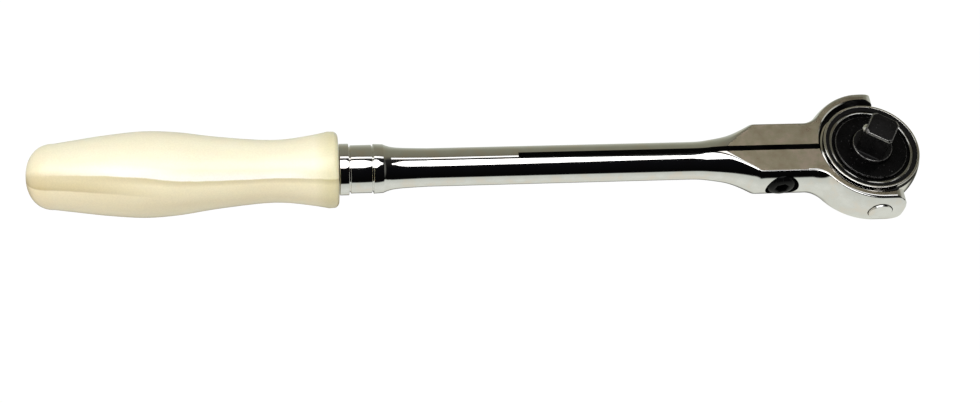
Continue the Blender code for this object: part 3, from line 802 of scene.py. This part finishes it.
def outline_radius(profile):
    """A function for the radius at any place along a turned outline."""
    xs = [x for x, _ in profile]

    def radius_at(x):
        x = min(max(x, xs[0]), xs[-1])
        high = min(max(bisect.bisect_right(xs, x), 1), len(xs) - 1)
        low = high - 1
        span = xs[high] - xs[low]
        t = (x - xs[low]) / span if span > 1e-9 else 0.0
        return profile[low][1] * (1 - t) + profile[high][1] * t

    return radius_at


def make_shank():
    """The shank with its collar and fork, as rings along X. The flats are their own material."""
    profile = collar_outline() + [(x, SHANK_R) for x in (-120.0, -100.0, -80.0)] + fork_outline()
    profile = [(x, radius - INSIDE) for x, radius in profile]
    radius_at = outline_radius(profile)
    bm = bmesh.new()
    rings = []
    for x, radius in profile:
        quarter = fork_angles(x, radius)
        upper = quarter + [math.pi - angle for angle in reversed(quarter[:-1])]
        angles = upper + [angle + math.pi for angle in upper[1:-1]]
        ring = []
        for angle in angles:
            at = x
            r = radius
            if x > NECK[0][0]:
                at = pulled_back(x, angle)
                r = fork_radius(at, radius_at(at), angle)
            ring.append(bm.verts.new((at, r * math.cos(angle), r * math.sin(angle))))
        rings.append(ring)
    for low, high in zip(rings, rings[1:]):
        for i in range(len(low)):
            j = (i + 1) % len(low)
            bm.faces.new((low[i], low[j], high[j], high[i]))
    bm.faces.new(rings[0])
    bm.faces.new(rings[-1])
    shank = to_object("shank", bm)

    reach = FORK_T / 2
    chamfer = 0.35
    bore = lathe(
        "bore",
        [
            (0, -reach - 1), (FORK_BORE_R + chamfer + 1, -reach - 1), (FORK_BORE_R, chamfer - reach),
            (FORK_BORE_R, reach - chamfer), (FORK_BORE_R + chamfer + 1, reach + 1), (0, reach + 1),
        ],
        160,
    )
    half = SLIT_W / 2
    slit_plan = [(SLIT_START_X, -half), (SLIT_END_X, -half), (SLIT_END_X, half), (SLIT_START_X, half)]
    slit = layered("slit", [(slit_plan, -SLIT_REACH), (slit_plan, SLIT_REACH)])
    clear = ARM_R + 3
    pins = rod("pin_holes", PIN_HOLE_R, -clear, clear, 72, "Y")
    screw_outline = [
        (0, -clear), (SCREW_SEAT_R, -clear), (SCREW_SEAT_R, SCREW_SEAT_Y), (SCREW_HOLE_R, SCREW_SEAT_Y),
        (SCREW_HOLE_R, clear), (0, clear),
    ]
    screw = lathe("screw_hole", screw_outline, 72, "Y", at=(SCREW_X, 0, 0))
    boolean(shank, "DIFFERENCE", bore, slit, pins, screw)
    mark_fork_flats(shank)
    set_shank_normals(shank, profile)
    finish_piece(
        shank,
        "shank",
        "chrome",
        "shank_fork",
        polished_chrome("shank_chrome"),
        satin_flat("fork_flats"),
        # The third material is near black: painted shade in the slit, the holes and the bore.
        black_oxide("fork_cuts_painted_shade", 0.003, (0.4, 0.6), 0.01, 0.05),
    )


def mark_fork_flats(shank):
    """Gives the milled flats the second material, and the slit, holes and bore the third, a near black that
    is painted shade.
    """
    for face in shank.data.polygons:
        at = middle_of(face)
        level = abs(abs(at.z) - FORK_T / 2) < MARK and abs(face.normal.z) > 0.9999
        slit = abs(abs(at.y) - SLIT_W / 2) < MARK and at.x > SLIT_START_X - 0.1
        pin = math.hypot(at.x, at.z) < PIN_HOLE_R + 0.02
        screw = at.x > -45 and math.hypot(at.x - SCREW_X, at.z) < SCREW_SEAT_R + 0.02
        bore = abs(math.hypot(at.x, at.y) - FORK_BORE_R) < 0.05 and at.x > -FORK_BORE_R - 0.1 and not level
        if slit or pin or screw or bore:
            face.material_index = 2
        elif level and at.x < (NEAR_TIP_X if at.y < 0 else FAR_TIP_X) - ARM_TIP_ROUND + 0.3:
            face.material_index = 1
        else:
            face.material_index = 0


def set_shank_normals(shank, profile):
    """Sets exact normals on the turned surface, so that the holes cut in it don't disturb its reflections."""
    radius_at = outline_radius(profile)

    def turned_normal(point):
        x, y, z = point
        angle = math.atan2(z, y)
        step = 0.05
        turn = 0.002

        def reach(at, around):
            return fork_radius(at, radius_at(at), around)

        tip_x = tip_of(angle)
        back, ahead = min(x - step, tip_x - 2 * step), min(x + step, tip_x)
        slope = (reach(ahead, angle) - reach(back, angle)) / (ahead - back)
        twist = (reach(x, angle + turn) - reach(x, angle - turn)) / (2 * turn)
        r = max(math.hypot(y, z), 1e-6)
        outward = Vector((0, y / r, z / r))
        around = Vector((0, -z / r, y / r))
        return (outward - around * (twist / r) + Vector((-slope, 0, 0))).normalized()

    mesh = shank.data
    normals = [tuple(corner.vector) for corner in mesh.corner_normals]
    for face in mesh.polygons:
        if middle_of(face).x <= NECK[0][0]:
            continue
        for index in face.loop_indices:
            point = (mesh.vertices[mesh.loops[index].vertex_index].co - PIVOT) / MM
            normal = face.normal
            exact = turned_normal(point)
            bore = Vector((-point.x, -point.y, 0)).normalized()
            if exact.dot(face.normal) > OWN_NORMAL:
                normal = exact
            elif bore.dot(face.normal) > BORE_NORMAL:
                normal = bore
            normals[index] = tuple(normal)
    mesh.normals_split_custom_set(normals)


def make_clamp_screw():
    base = SCREW_SEAT_Y - 0.3
    top = SCREW_TOP_Y
    outline = [(0, top), (2.9, top), (3.9, top + 0.25), (4.6, top + 0.75), (5.0, top + 1.4)]
    outline = smooth_through(outline[1:], 4)
    outline = [(0, top), *outline, (SCREW_HEAD_R - INSIDE, top + 2.1)]
    outline += [
        (SCREW_HEAD_R - INSIDE, base - 0.15), (SCREW_HEAD_R - 0.15, base), (SCREW_SHANK_R + 0.2, base),
        (SCREW_SHANK_R, base + 0.2), (SCREW_SHANK_R, SCREW_END_Y - 0.6),
        (SCREW_SHANK_R - 0.6, SCREW_END_Y), (0, SCREW_END_Y),
    ]
    screw = lathe("screw", outline, 96, "Y", at=(SCREW_X, 0, 0))
    key_r = SCREW_KEY / math.sqrt(3)
    stand = Matrix.Rotation(math.radians(90), 4, "X")
    key = polygon(6, key_r, 20)
    wide = polygon(6, key_r + 1.35, 20)
    socket = layered(
        "socket",
        [(wide, -(top - 1)), (key, -(top + 0.28)), (key, -(top + SCREW_KEY_DEPTH))],
        at=(SCREW_X, 0, 0),
        turn=stand,
    )
    boolean(screw, "DIFFERENCE", socket)
    black = black_oxide("screw_black", 0.0018, (0.1, 0.2), 0.05, 0.09)
    finish_piece(screw, "screw", "black_steel", "clamp_screw", black)


def make_pins():
    pin = [
        (0, PIN_INNER_Y), (SPIGOT_R, PIN_INNER_Y), (SPIGOT_R, PIN_SHOULDER_Y),
        (PIN_HEAD_R - 0.1, PIN_SHOULDER_Y), (PIN_HEAD_R - 0.1, PIN_OUTER_Y), (2.6, PIN_OUTER_Y),
        (0, PIN_OUTER_Y - 0.12),
    ]
    pin = rounded(pin, 0.2, 5)
    for side, sign in (("near", -1), ("far", 1)):
        made = lathe(f"pin_{side}", [(r, sign * y) for r, y in pin], 96, "Y")
        finish_piece(made, "shank", "chrome", f"pivot_pin_{side}", polished_chrome(f"pin_chrome_{side}"))


def make_housing():
    wall = [(math.sqrt(BALL_R**2 - z**2) - INSIDE, z) for z in (-5.4 + 0.33 * k for k in range(31))]
    foot = arc((15.2, HOUSING_BOTTOM_Z + 1.75), 1.75, -90, -22, 8)
    bead = rounded(
        [
            (RIM_R - 0.45, 4.72), (RIM_R, 4.9), (RIM_R, RIM_TOP_Z - 0.02), (LEDGE_R, RIM_TOP_Z - 0.02),
            (LEDGE_R, LEDGE_Z),
        ],
        0.42,
        8,
    )
    rim = [*bead, (SEAT_R + 0.1, LEDGE_Z), (SEAT_R, LEDGE_Z - 0.08)]
    outline = [(0, HOUSING_BOTTOM_Z), (14.2, HOUSING_BOTTOM_Z), *foot, *wall, *rim]
    outline += [
        (SEAT_R, RING_GROOVE_Z[1]), (RING_GROOVE_R, RING_GROOVE_Z[1]),
        (RING_GROOVE_R, RING_GROOVE_Z[0]), (SEAT_R, RING_GROOVE_Z[0]), (SEAT_R, SEAT_Z),
        (GEAR_CAVITY[0], SEAT_Z), (GEAR_CAVITY[0], GEAR_CAVITY[1]), (BEARING[0], GEAR_CAVITY[1]),
        (BEARING[0], BEARING[1]), (0, BEARING[1]),
    ]
    housing = lathe("housing", outline, 192)
    half = PAWL_CAVITY_HALF_ANGLE
    plan = arc((0, 0), PAWL_CAVITY_R, 180 - half, 180 + half, 24)
    plan += arc((0, 0), GEAR_CAVITY[0] - 1.5, 180 + half, 180 - half, 12)
    cavity = layered("cavity", [(plan, PAWL_CAVITY_Z), (plan, SEAT_Z + 1)])
    cutters = [cavity]
    for radius, low, high in (
        (POST_POCKET_R, PAWL_CAVITY_Z, POST_TOP_Z + 0.3),
        (POST_HOLE_R, HOUSING_BOTTOM_Z - 2, POST_TOP_Z),
    ):
        plan = polygon(48, radius, centre=(LEVER_X, 0))
        cutters.append(layered("post_cut", [(plan, low), (plan, high)]))
    for sign in (-1, 1):
        low, high = sorted((sign * HEAD_FLAT_Y, sign * (BALL_R + 2)))
        flat = [(-9, low), (9, low), (9, high), (-9, high)]
        cutters.append(layered(f"flat{sign}", [(flat, -9), (flat, 9)]))
        r, end = SPIGOT_HOLE
        cutters.append(rod(f"spigot{sign}", r, sign * end, sign * (BALL_R + 2), 64, "Y"))
    boolean(housing, "DIFFERENCE", *cutters)
    # Painted shade: the walls inside the rim, the ledge and the ring groove are near black, for the shade in
    # them.
    for face in housing.data.polygons:
        at = middle_of(face)
        inside = math.hypot(at.x, at.y) < LEDGE_R + 0.04
        face.material_index = int(inside and GEAR_CAVITY[1] < at.z < RIM_TOP_Z - 0.2)
    chrome = polished_chrome("head_chrome", (0.8, 0.79, 0.75), (0.05, 0.11))
    black = black_oxide("head_inside_painted_shade", 0.004, (0.3, 0.5), 0.02, 0.1)
    finish_piece(housing, "head", "chrome", "head_housing", chrome, black)


def make_cover():
    seat_r, seat_z = SEAL_SEAT
    outline = [
        (seat_r, COVER_Z[0]), (COVER_R - INSIDE, COVER_Z[0]), (COVER_R - INSIDE, COVER_Z[1]),
        (COVER_RAISED_R + 0.12, COVER_Z[1]), (COVER_RAISED_R - 0.02, COVER_TOP_Z - 0.3),
        (COVER_RAISED_R - 0.32, COVER_TOP_Z), (HUB_HOLE_R + 0.25, COVER_TOP_Z),
        (HUB_HOLE_R, COVER_TOP_Z - 0.25), (HUB_HOLE_R, seat_z), (seat_r, seat_z),
    ]
    cover = lathe("cover", rounded(outline, 0.12, 3, closed=True), 192)
    for face in cover.data.polygons:
        at = middle_of(face)
        edge = math.hypot(at.x, at.y) > COVER_RAISED_R - 0.36 and COVER_TOP_Z - 0.4 < at.z
        face.material_index = int(edge and is_sloping(face))
    black = black_oxide("cover_black", 0.0018, (0.2, 0.32), 0.1, 0.045)
    finish_piece(cover, "head", "black_steel", "cover_plate", black, worn_edge("cover_edge", 0.11))


def make_retaining_ring():
    """A round-edged wire ring with a gap."""
    start = RING_GAP_AT + RING_GAP / 2
    end = RING_GAP_AT - RING_GAP / 2 + 360
    outline = arc((0, 0), RING_R[1] - INSIDE, start, end, 150) + arc((0, 0), RING_R[0], end, start, 150)
    ring = plate("snap_ring", outline, *RING_Z, edge=0.26, steps=4)
    chrome = polished_chrome("ring_chrome", (0.5, 0.5, 0.48), (0.06, 0.12))
    finish_piece(ring, "head", "chrome", "retaining_ring", chrome)


def square_outline(reach, corner, steps=10):
    """A square of half width reach whose corners are cut to a circle of radius corner."""
    points = []
    corner = min(corner, reach * math.sqrt(2) - 0.02)
    at = math.degrees(math.acos(min(reach / corner, 1.0)))
    for side in range(4):
        points += arc((0, 0), corner, 90 * side + at, 90 * side + 90 - at, steps)
    return points


def make_drive():
    star = []
    root, tip_half = TOOTH_HALF
    tooth = ((GEAR_ROOT_R, -root), (GEAR_TIP_R, -tip_half), (GEAR_TIP_R, tip_half), (GEAR_ROOT_R, root))
    for k in range(TEETH):
        tip = 360 * k / TEETH
        for radius, offset in tooth:
            angle = math.radians(tip + offset)
            star.append(((radius - INSIDE) * math.cos(angle), (radius - INSIDE) * math.sin(angle)))
    gear = plate("drive", star, *GEAR_Z, edge=0.12, steps=1)
    hub_outline = [
        (0, LOWER_HUB_Z), (LOWER_HUB_R, LOWER_HUB_Z), (LOWER_HUB_R, 0.0), (HUB_R, 0.0),
        (HUB_R, HUB_TOP_Z), (0, HUB_TOP_Z),
    ]
    hub = lathe("hub", rounded([(r - INSIDE if r else 0, z) for r, z in hub_outline], 0.4, 5), 160)
    half = SQUARE / 2 - 0.01
    layers = [
        (square_outline(half + 0.45, SQUARE_CORNER_R + 0.3), HUB_TOP_Z - 1.0),
        (square_outline(half + 0.45, SQUARE_CORNER_R + 0.3), HUB_TOP_Z + 0.02),
        (square_outline(half + 0.13, SQUARE_CORNER_R + 0.05), HUB_TOP_Z + 0.16),
        (square_outline(half, SQUARE_CORNER_R - 0.03), HUB_TOP_Z + 0.5),
        (square_outline(half, SQUARE_CORNER_R - 0.03), SQUARE_TOP_Z - 1.0),
    ]
    for k in range(1, 9):
        angle = math.radians(90 * k / 8)
        drop = 1.0 - math.sin(angle)
        pull = 1.0 - math.cos(angle)
        outline = square_outline(half - 0.42 * pull, SQUARE_CORNER_R - 0.03 - 1.05 * pull)
        layers.append((outline, SQUARE_TOP_Z - drop))
    turn = Matrix.Rotation(math.radians(SQUARE_ANGLE), 4, "Z")
    bar = layered("bar", layers, turn=turn)
    face = SQUARE / 2
    hole_outline = [
        (0, face - DETENT_HOLE_DEPTH), (DETENT_HOLE_R, face - DETENT_HOLE_DEPTH),
        (DETENT_HOLE_R, face - 0.15), (DETENT_HOLE_R + 0.35, face + 0.2), (0, face + 0.2),
    ]
    out = Matrix.Rotation(math.radians(SQUARE_ANGLE + 90), 4, "Z")
    hole = lathe("ball_hole", hole_outline, 48, "X", at=(0, 0, DETENT_Z), turn=out)
    boolean(gear, "UNION", hub, bar)
    boolean(gear, "DIFFERENCE", hole)
    for face in gear.data.polygons:
        at = middle_of(face)
        chamfer = at.z > SQUARE_TOP_Z - 0.95
        hub_edge = HUB_TOP_Z - 0.45 < at.z < HUB_TOP_Z and math.hypot(at.x, at.y) > HUB_R - 0.5
        face.material_index = int(is_sloping(face) and (chamfer or hub_edge))
    black = black_oxide("drive_black", 0.0045, (0.22, 0.38), 0.07, 0.11)
    finish_piece(gear, "drive", "black_steel", "drive_gear", black, worn_edge("drive_edges"))

    reach = SQUARE / 2 + DETENT_OUT - DETENT_R
    ball = [(DETENT_R * math.sin(a), -DETENT_R * math.cos(a)) for a in (math.pi * k / 32 for k in range(33))]
    ball[0], ball[-1] = (0, -DETENT_R), (0, DETENT_R)
    centre = out @ Vector((reach, 0, 0)) + Vector((0, 0, DETENT_Z))
    made = lathe("detent", [(r * 0.995, z * 0.995) for r, z in ball], 48, at=tuple(centre))
    finish_piece(made, "ball", "chrome", "detent_ball", polished_chrome("ball_chrome"))
    back = SQUARE / 2 - DETENT_HOLE_DEPTH + 0.1
    front = reach - DETENT_R - DETENT_OUT - 0.05
    spring = coil("ball_spring", 1.2, 0.19, 2.5, back, front, out, (0, 0, DETENT_Z))
    finish_piece(spring, "drive", "steel", "detent_spring", plain_steel("ball_spring_steel"))


def make_lever():
    """The reverse lever under the head, with a finger pad and three grip ridges, and its grooved post."""
    low, high = LEVER_Z
    groove_r, groove_low, groove_high = CLIP_GROOVE
    post = [
        (0, high - 1.2), (POST_R, high - 1.2), (POST_R, groove_low), (groove_r, groove_low),
        (groove_r, groove_high), (POST_R, groove_high), (POST_R, POST_TOP_Z - 0.2),
        (0, POST_TOP_Z - 0.2),
    ]
    at = (LEVER_X, 0, 0)
    lever = lathe("lever", rounded([(r - INSIDE if r else 0, z) for r, z in post], 0.2, 3), 64, at=at)
    taper = math.degrees(math.asin((LEVER_DISC_R - LEVER_TIP_R) / LEVER_LENGTH))
    plan = arc((0, 0), LEVER_DISC_R - INSIDE, 90 - taper, 270 + taper, 28)
    plan += arc((LEVER_LENGTH, 0), LEVER_TIP_R - INSIDE, -90 + taper, 90 - taper, 22)
    turn = Matrix.Rotation(math.radians(LEVER_REST), 4, "Z")
    arm = plate("lever_arm", plan, low + 0.01, high - 0.01, edge=0.4, steps=5, at=at, turn=turn)
    grooves = []
    for k in range(3):
        x = LEVER_LENGTH - 0.2 - 1.1 * k
        notch = [(x - 0.22, low - 0.2), (x + 0.22, low - 0.2), (x, low + 0.32)]
        bm = bmesh.new()
        ends = [[bm.verts.new((a, y, z)) for a, z in notch] for y in (-4, 4)]
        bm.faces.new(ends[0])
        bm.faces.new(ends[1])
        for i in range(3):
            j = (i + 1) % 3
            bm.faces.new((ends[0][i], ends[0][j], ends[1][j], ends[1][i]))
        bmesh.ops.transform(bm, matrix=turn, verts=bm.verts)
        grooves.append(to_object(f"notch{k}", bm, at))
    boolean(arm, "DIFFERENCE", *grooves)
    hole_r, hole_back = SELECTOR_HOLE
    hole = rod("selector_bore", hole_r, hole_back, 3, 40, "X", at=at, turn=turn)
    boolean(lever, "UNION", arm)
    boolean(lever, "DIFFERENCE", hole)
    finish_piece(lever, "lever", "black_steel", "reverse_lever", black_oxide("lever_black", 0.018))


STEEL_NODES = (
    "pivot_washer_near",
    "pivot_washer_far",
    "thrust_washer",
    "pawl",
    "lever_clip",
    "selector_ball",
    "selector_spring",
)


def dress_small_nodes():
    """The washers, springs, clip and pawl keep their CAD shapes and get their own materials."""
    for name in STEEL_NODES:
        dress(name, plain_steel(f"{name}_steel"))
    dress("hub_seal", black_rubber("seal_rubber"))


def dress(name, made):
    node = frame["nodes"][name]
    node.data.materials.clear()
    node.data.materials.append(made)


# ---------------------------------------------------------------- studio


def set_camera():
    view, up = Vector(CAMERA_VIEW).normalized(), Vector(CAMERA_UP).normalized()
    right = view.cross(up).normalized()
    up = right.cross(view)
    camera = bpy.data.objects.new("camera", bpy.data.cameras.new("camera"))
    camera.data.lens = CAMERA_LENS
    camera.data.sensor_width = CAMERA_SENSOR
    camera.data.clip_start = 0.01
    place = Matrix((right, up, -view)).transposed().to_4x4()
    place.translation = PIVOT + Vector(CAMERA_AT) * MM
    camera.matrix_world = place
    bpy.context.scene.collection.objects.link(camera)
    bpy.context.scene.camera = camera


# The room round the tool, by the angle about its length from the far side up over the top
ROOM = (
    (-180.0, (0.002, 0.002, 0.002)),
    (-172.0, (0.002, 0.002, 0.002)),
    (-168.0, (0.60, 0.62, 0.57)),
    (-135.0, (0.74, 0.75, 0.69)),
    (-92.0, (0.70, 0.71, 0.64)),
    (-80.0, (0.25, 0.25, 0.22)),
    (-73.0, (0.06, 0.06, 0.05)),
    (-62.0, (0.06, 0.06, 0.05)),
    (-56.0, (0.56, 0.58, 0.51)),
    (-30.0, (0.48, 0.50, 0.43)),
    (-8.0, (0.33, 0.33, 0.26)),
    (12.0, (0.24, 0.24, 0.18)),
    (52.0, (0.19, 0.18, 0.135)),
    (74.0, (0.02, 0.02, 0.02)),
    (120.0, (0.004, 0.004, 0.005)),
    (180.0, (0.002, 0.002, 0.002)),
)
END_LIGHT = (0.52, 0.52, 0.47)
END_FROM = (0.72, 0.93)  # share of the direction along the tool over which the end light takes over
# Cards of white light over the tool: centre and half width in degrees, soft edge, brightness
STRIP = (66.0, 5.0, 1.2, 1.5)
SOFTBOX = (98.0, 19.0, 1.5, 2.6)
# The softbox narrows towards the head: where along the tool it starts and ends, and its narrowest share
TAPER = (0.06, 0.40, 0.22)
# Where along the tool the cards start to show, are full, start to fade and are gone
CARD_ENDS = (-0.80, -0.70, 0.42, 0.47)


def set_world():
    """A studio of cards painted by direction: fixed in the world, so it doesn't move with the camera."""
    world = bpy.data.worlds.new("studio")
    bpy.context.scene.world = world
    world.use_nodes = True
    tree = Nodes(world.node_tree)
    axis = tree.split("Generated")
    along = axis["X"]
    angle = tree.math("DEGREES", tree.math("ARCTAN2", axis["Z"], axis["Y"]))
    turn = tree.math("MULTIPLY_ADD", angle, 1 / 360, 0.5)
    around = tree.ramp(turn, *[((degrees + 180.0) / 360.0, colour) for degrees, colour in ROOM])
    at_end = tree.eased(tree.math("ABSOLUTE", along), *END_FROM, 0.0, 1.0)
    light = tree.mix(at_end, around, END_LIGHT)

    start, full, end, gone = CARD_ENDS
    rise = tree.eased(along, start, full, 0.0, 1.0)
    lit = tree.math("MULTIPLY", rise, tree.eased(along, end, gone, 1.0, 0.0))
    width = tree.eased(along, TAPER[0], TAPER[1], 1.0, TAPER[2])
    for (centre, half, edge, bright), share in ((STRIP, None), (SOFTBOX, width)):
        away = tree.math("ABSOLUTE", tree.math("SUBTRACT", angle, centre))
        if share:
            away = tree.math("DIVIDE", away, share)
        card = tree.math("MULTIPLY", tree.eased(away, half - edge, half, 1.0, 0.0), lit)
        light = tree.mix(card, light, (bright, bright, bright))
    tree.links.new(light, tree.nodes["Background"].inputs["Color"])


# Name, place and size in metres, watts, colour
LIGHTS = (
    ("key", (-0.1, -0.15, 0.75), 0.7, 3.1, (1, 1, 1)),
    ("fill", (-0.1, -0.8, 0.30), 0.8, 1.3, (1.0, 0.97, 0.92)),
)


def add_soft_light(name, at, size, power, colour):
    """A large soft light aimed at the middle of the tool. It lights plastic but leaves no hard reflection."""
    data = bpy.data.lights.new(name, "AREA")
    data.shape = "DISK"
    data.size = size
    data.energy = power
    data.color = colour
    lamp = bpy.data.objects.new(name, data)
    lamp.location = at
    target = Vector((0, 0, 0.01))
    lamp.rotation_euler = (target - Vector(at)).to_track_quat("-Z", "Y").to_euler()
    lamp.visible_glossy = False
    bpy.context.scene.collection.objects.link(lamp)


FLOOR_R = 2600.0
FLOOR_GAP = 0.05  # under the lowest point of the tool
DOME_R = 2500.0
FLOOR_SHADE = (0.02, 0.02, 0.02)


def set_stage():
    """A pale floor, and a pale dome behind it that only the camera sees."""
    floor = to_object("floor", disc(FLOOR_R, 96), at=(0, 0, -PIVOT.z / MM - FLOOR_GAP), smooth=False)
    dome_mesh = bmesh.new()
    bmesh.ops.create_icosphere(dome_mesh, subdivisions=4, radius=DOME_R)
    dome = to_object("dome", dome_mesh)
    for obj in (floor, dome):
        made = bpy.data.materials.new(f"{obj.name}_pale")
        made.use_nodes = True
        shader = made.node_tree.nodes["Principled BSDF"]
        shader.inputs["Base Color"].default_value = (*FLOOR_SHADE, 1)
        shader.inputs["Roughness"].default_value = 0.9
        shader.inputs["Specular IOR Level"].default_value = 0.0
        shader.inputs["Emission Color"].default_value = (1, 1, 1, 1)
        shader.inputs["Emission Strength"].default_value = 1.0
        obj.data.materials.append(made)
    for flag in ("visible_diffuse", "visible_glossy", "visible_transmission", "visible_shadow"):
        setattr(dome, flag, False)
    floor.visible_glossy = False


def disc(radius, sides):
    bm = bmesh.new()
    bmesh.ops.create_circle(bm, cap_ends=True, segments=sides, radius=radius)
    return bm


def main():
    make_grip()
    make_shank()
    make_clamp_screw()
    make_pins()
    make_housing()
    make_cover()
    make_retaining_ring()
    make_drive()
    make_lever()
    dress_small_nodes()
    set_camera()
    set_world()
    for light in LIGHTS:
        add_soft_light(*light)
    set_stage()
    bpy.context.scene.view_settings.view_transform = "Standard"


main()
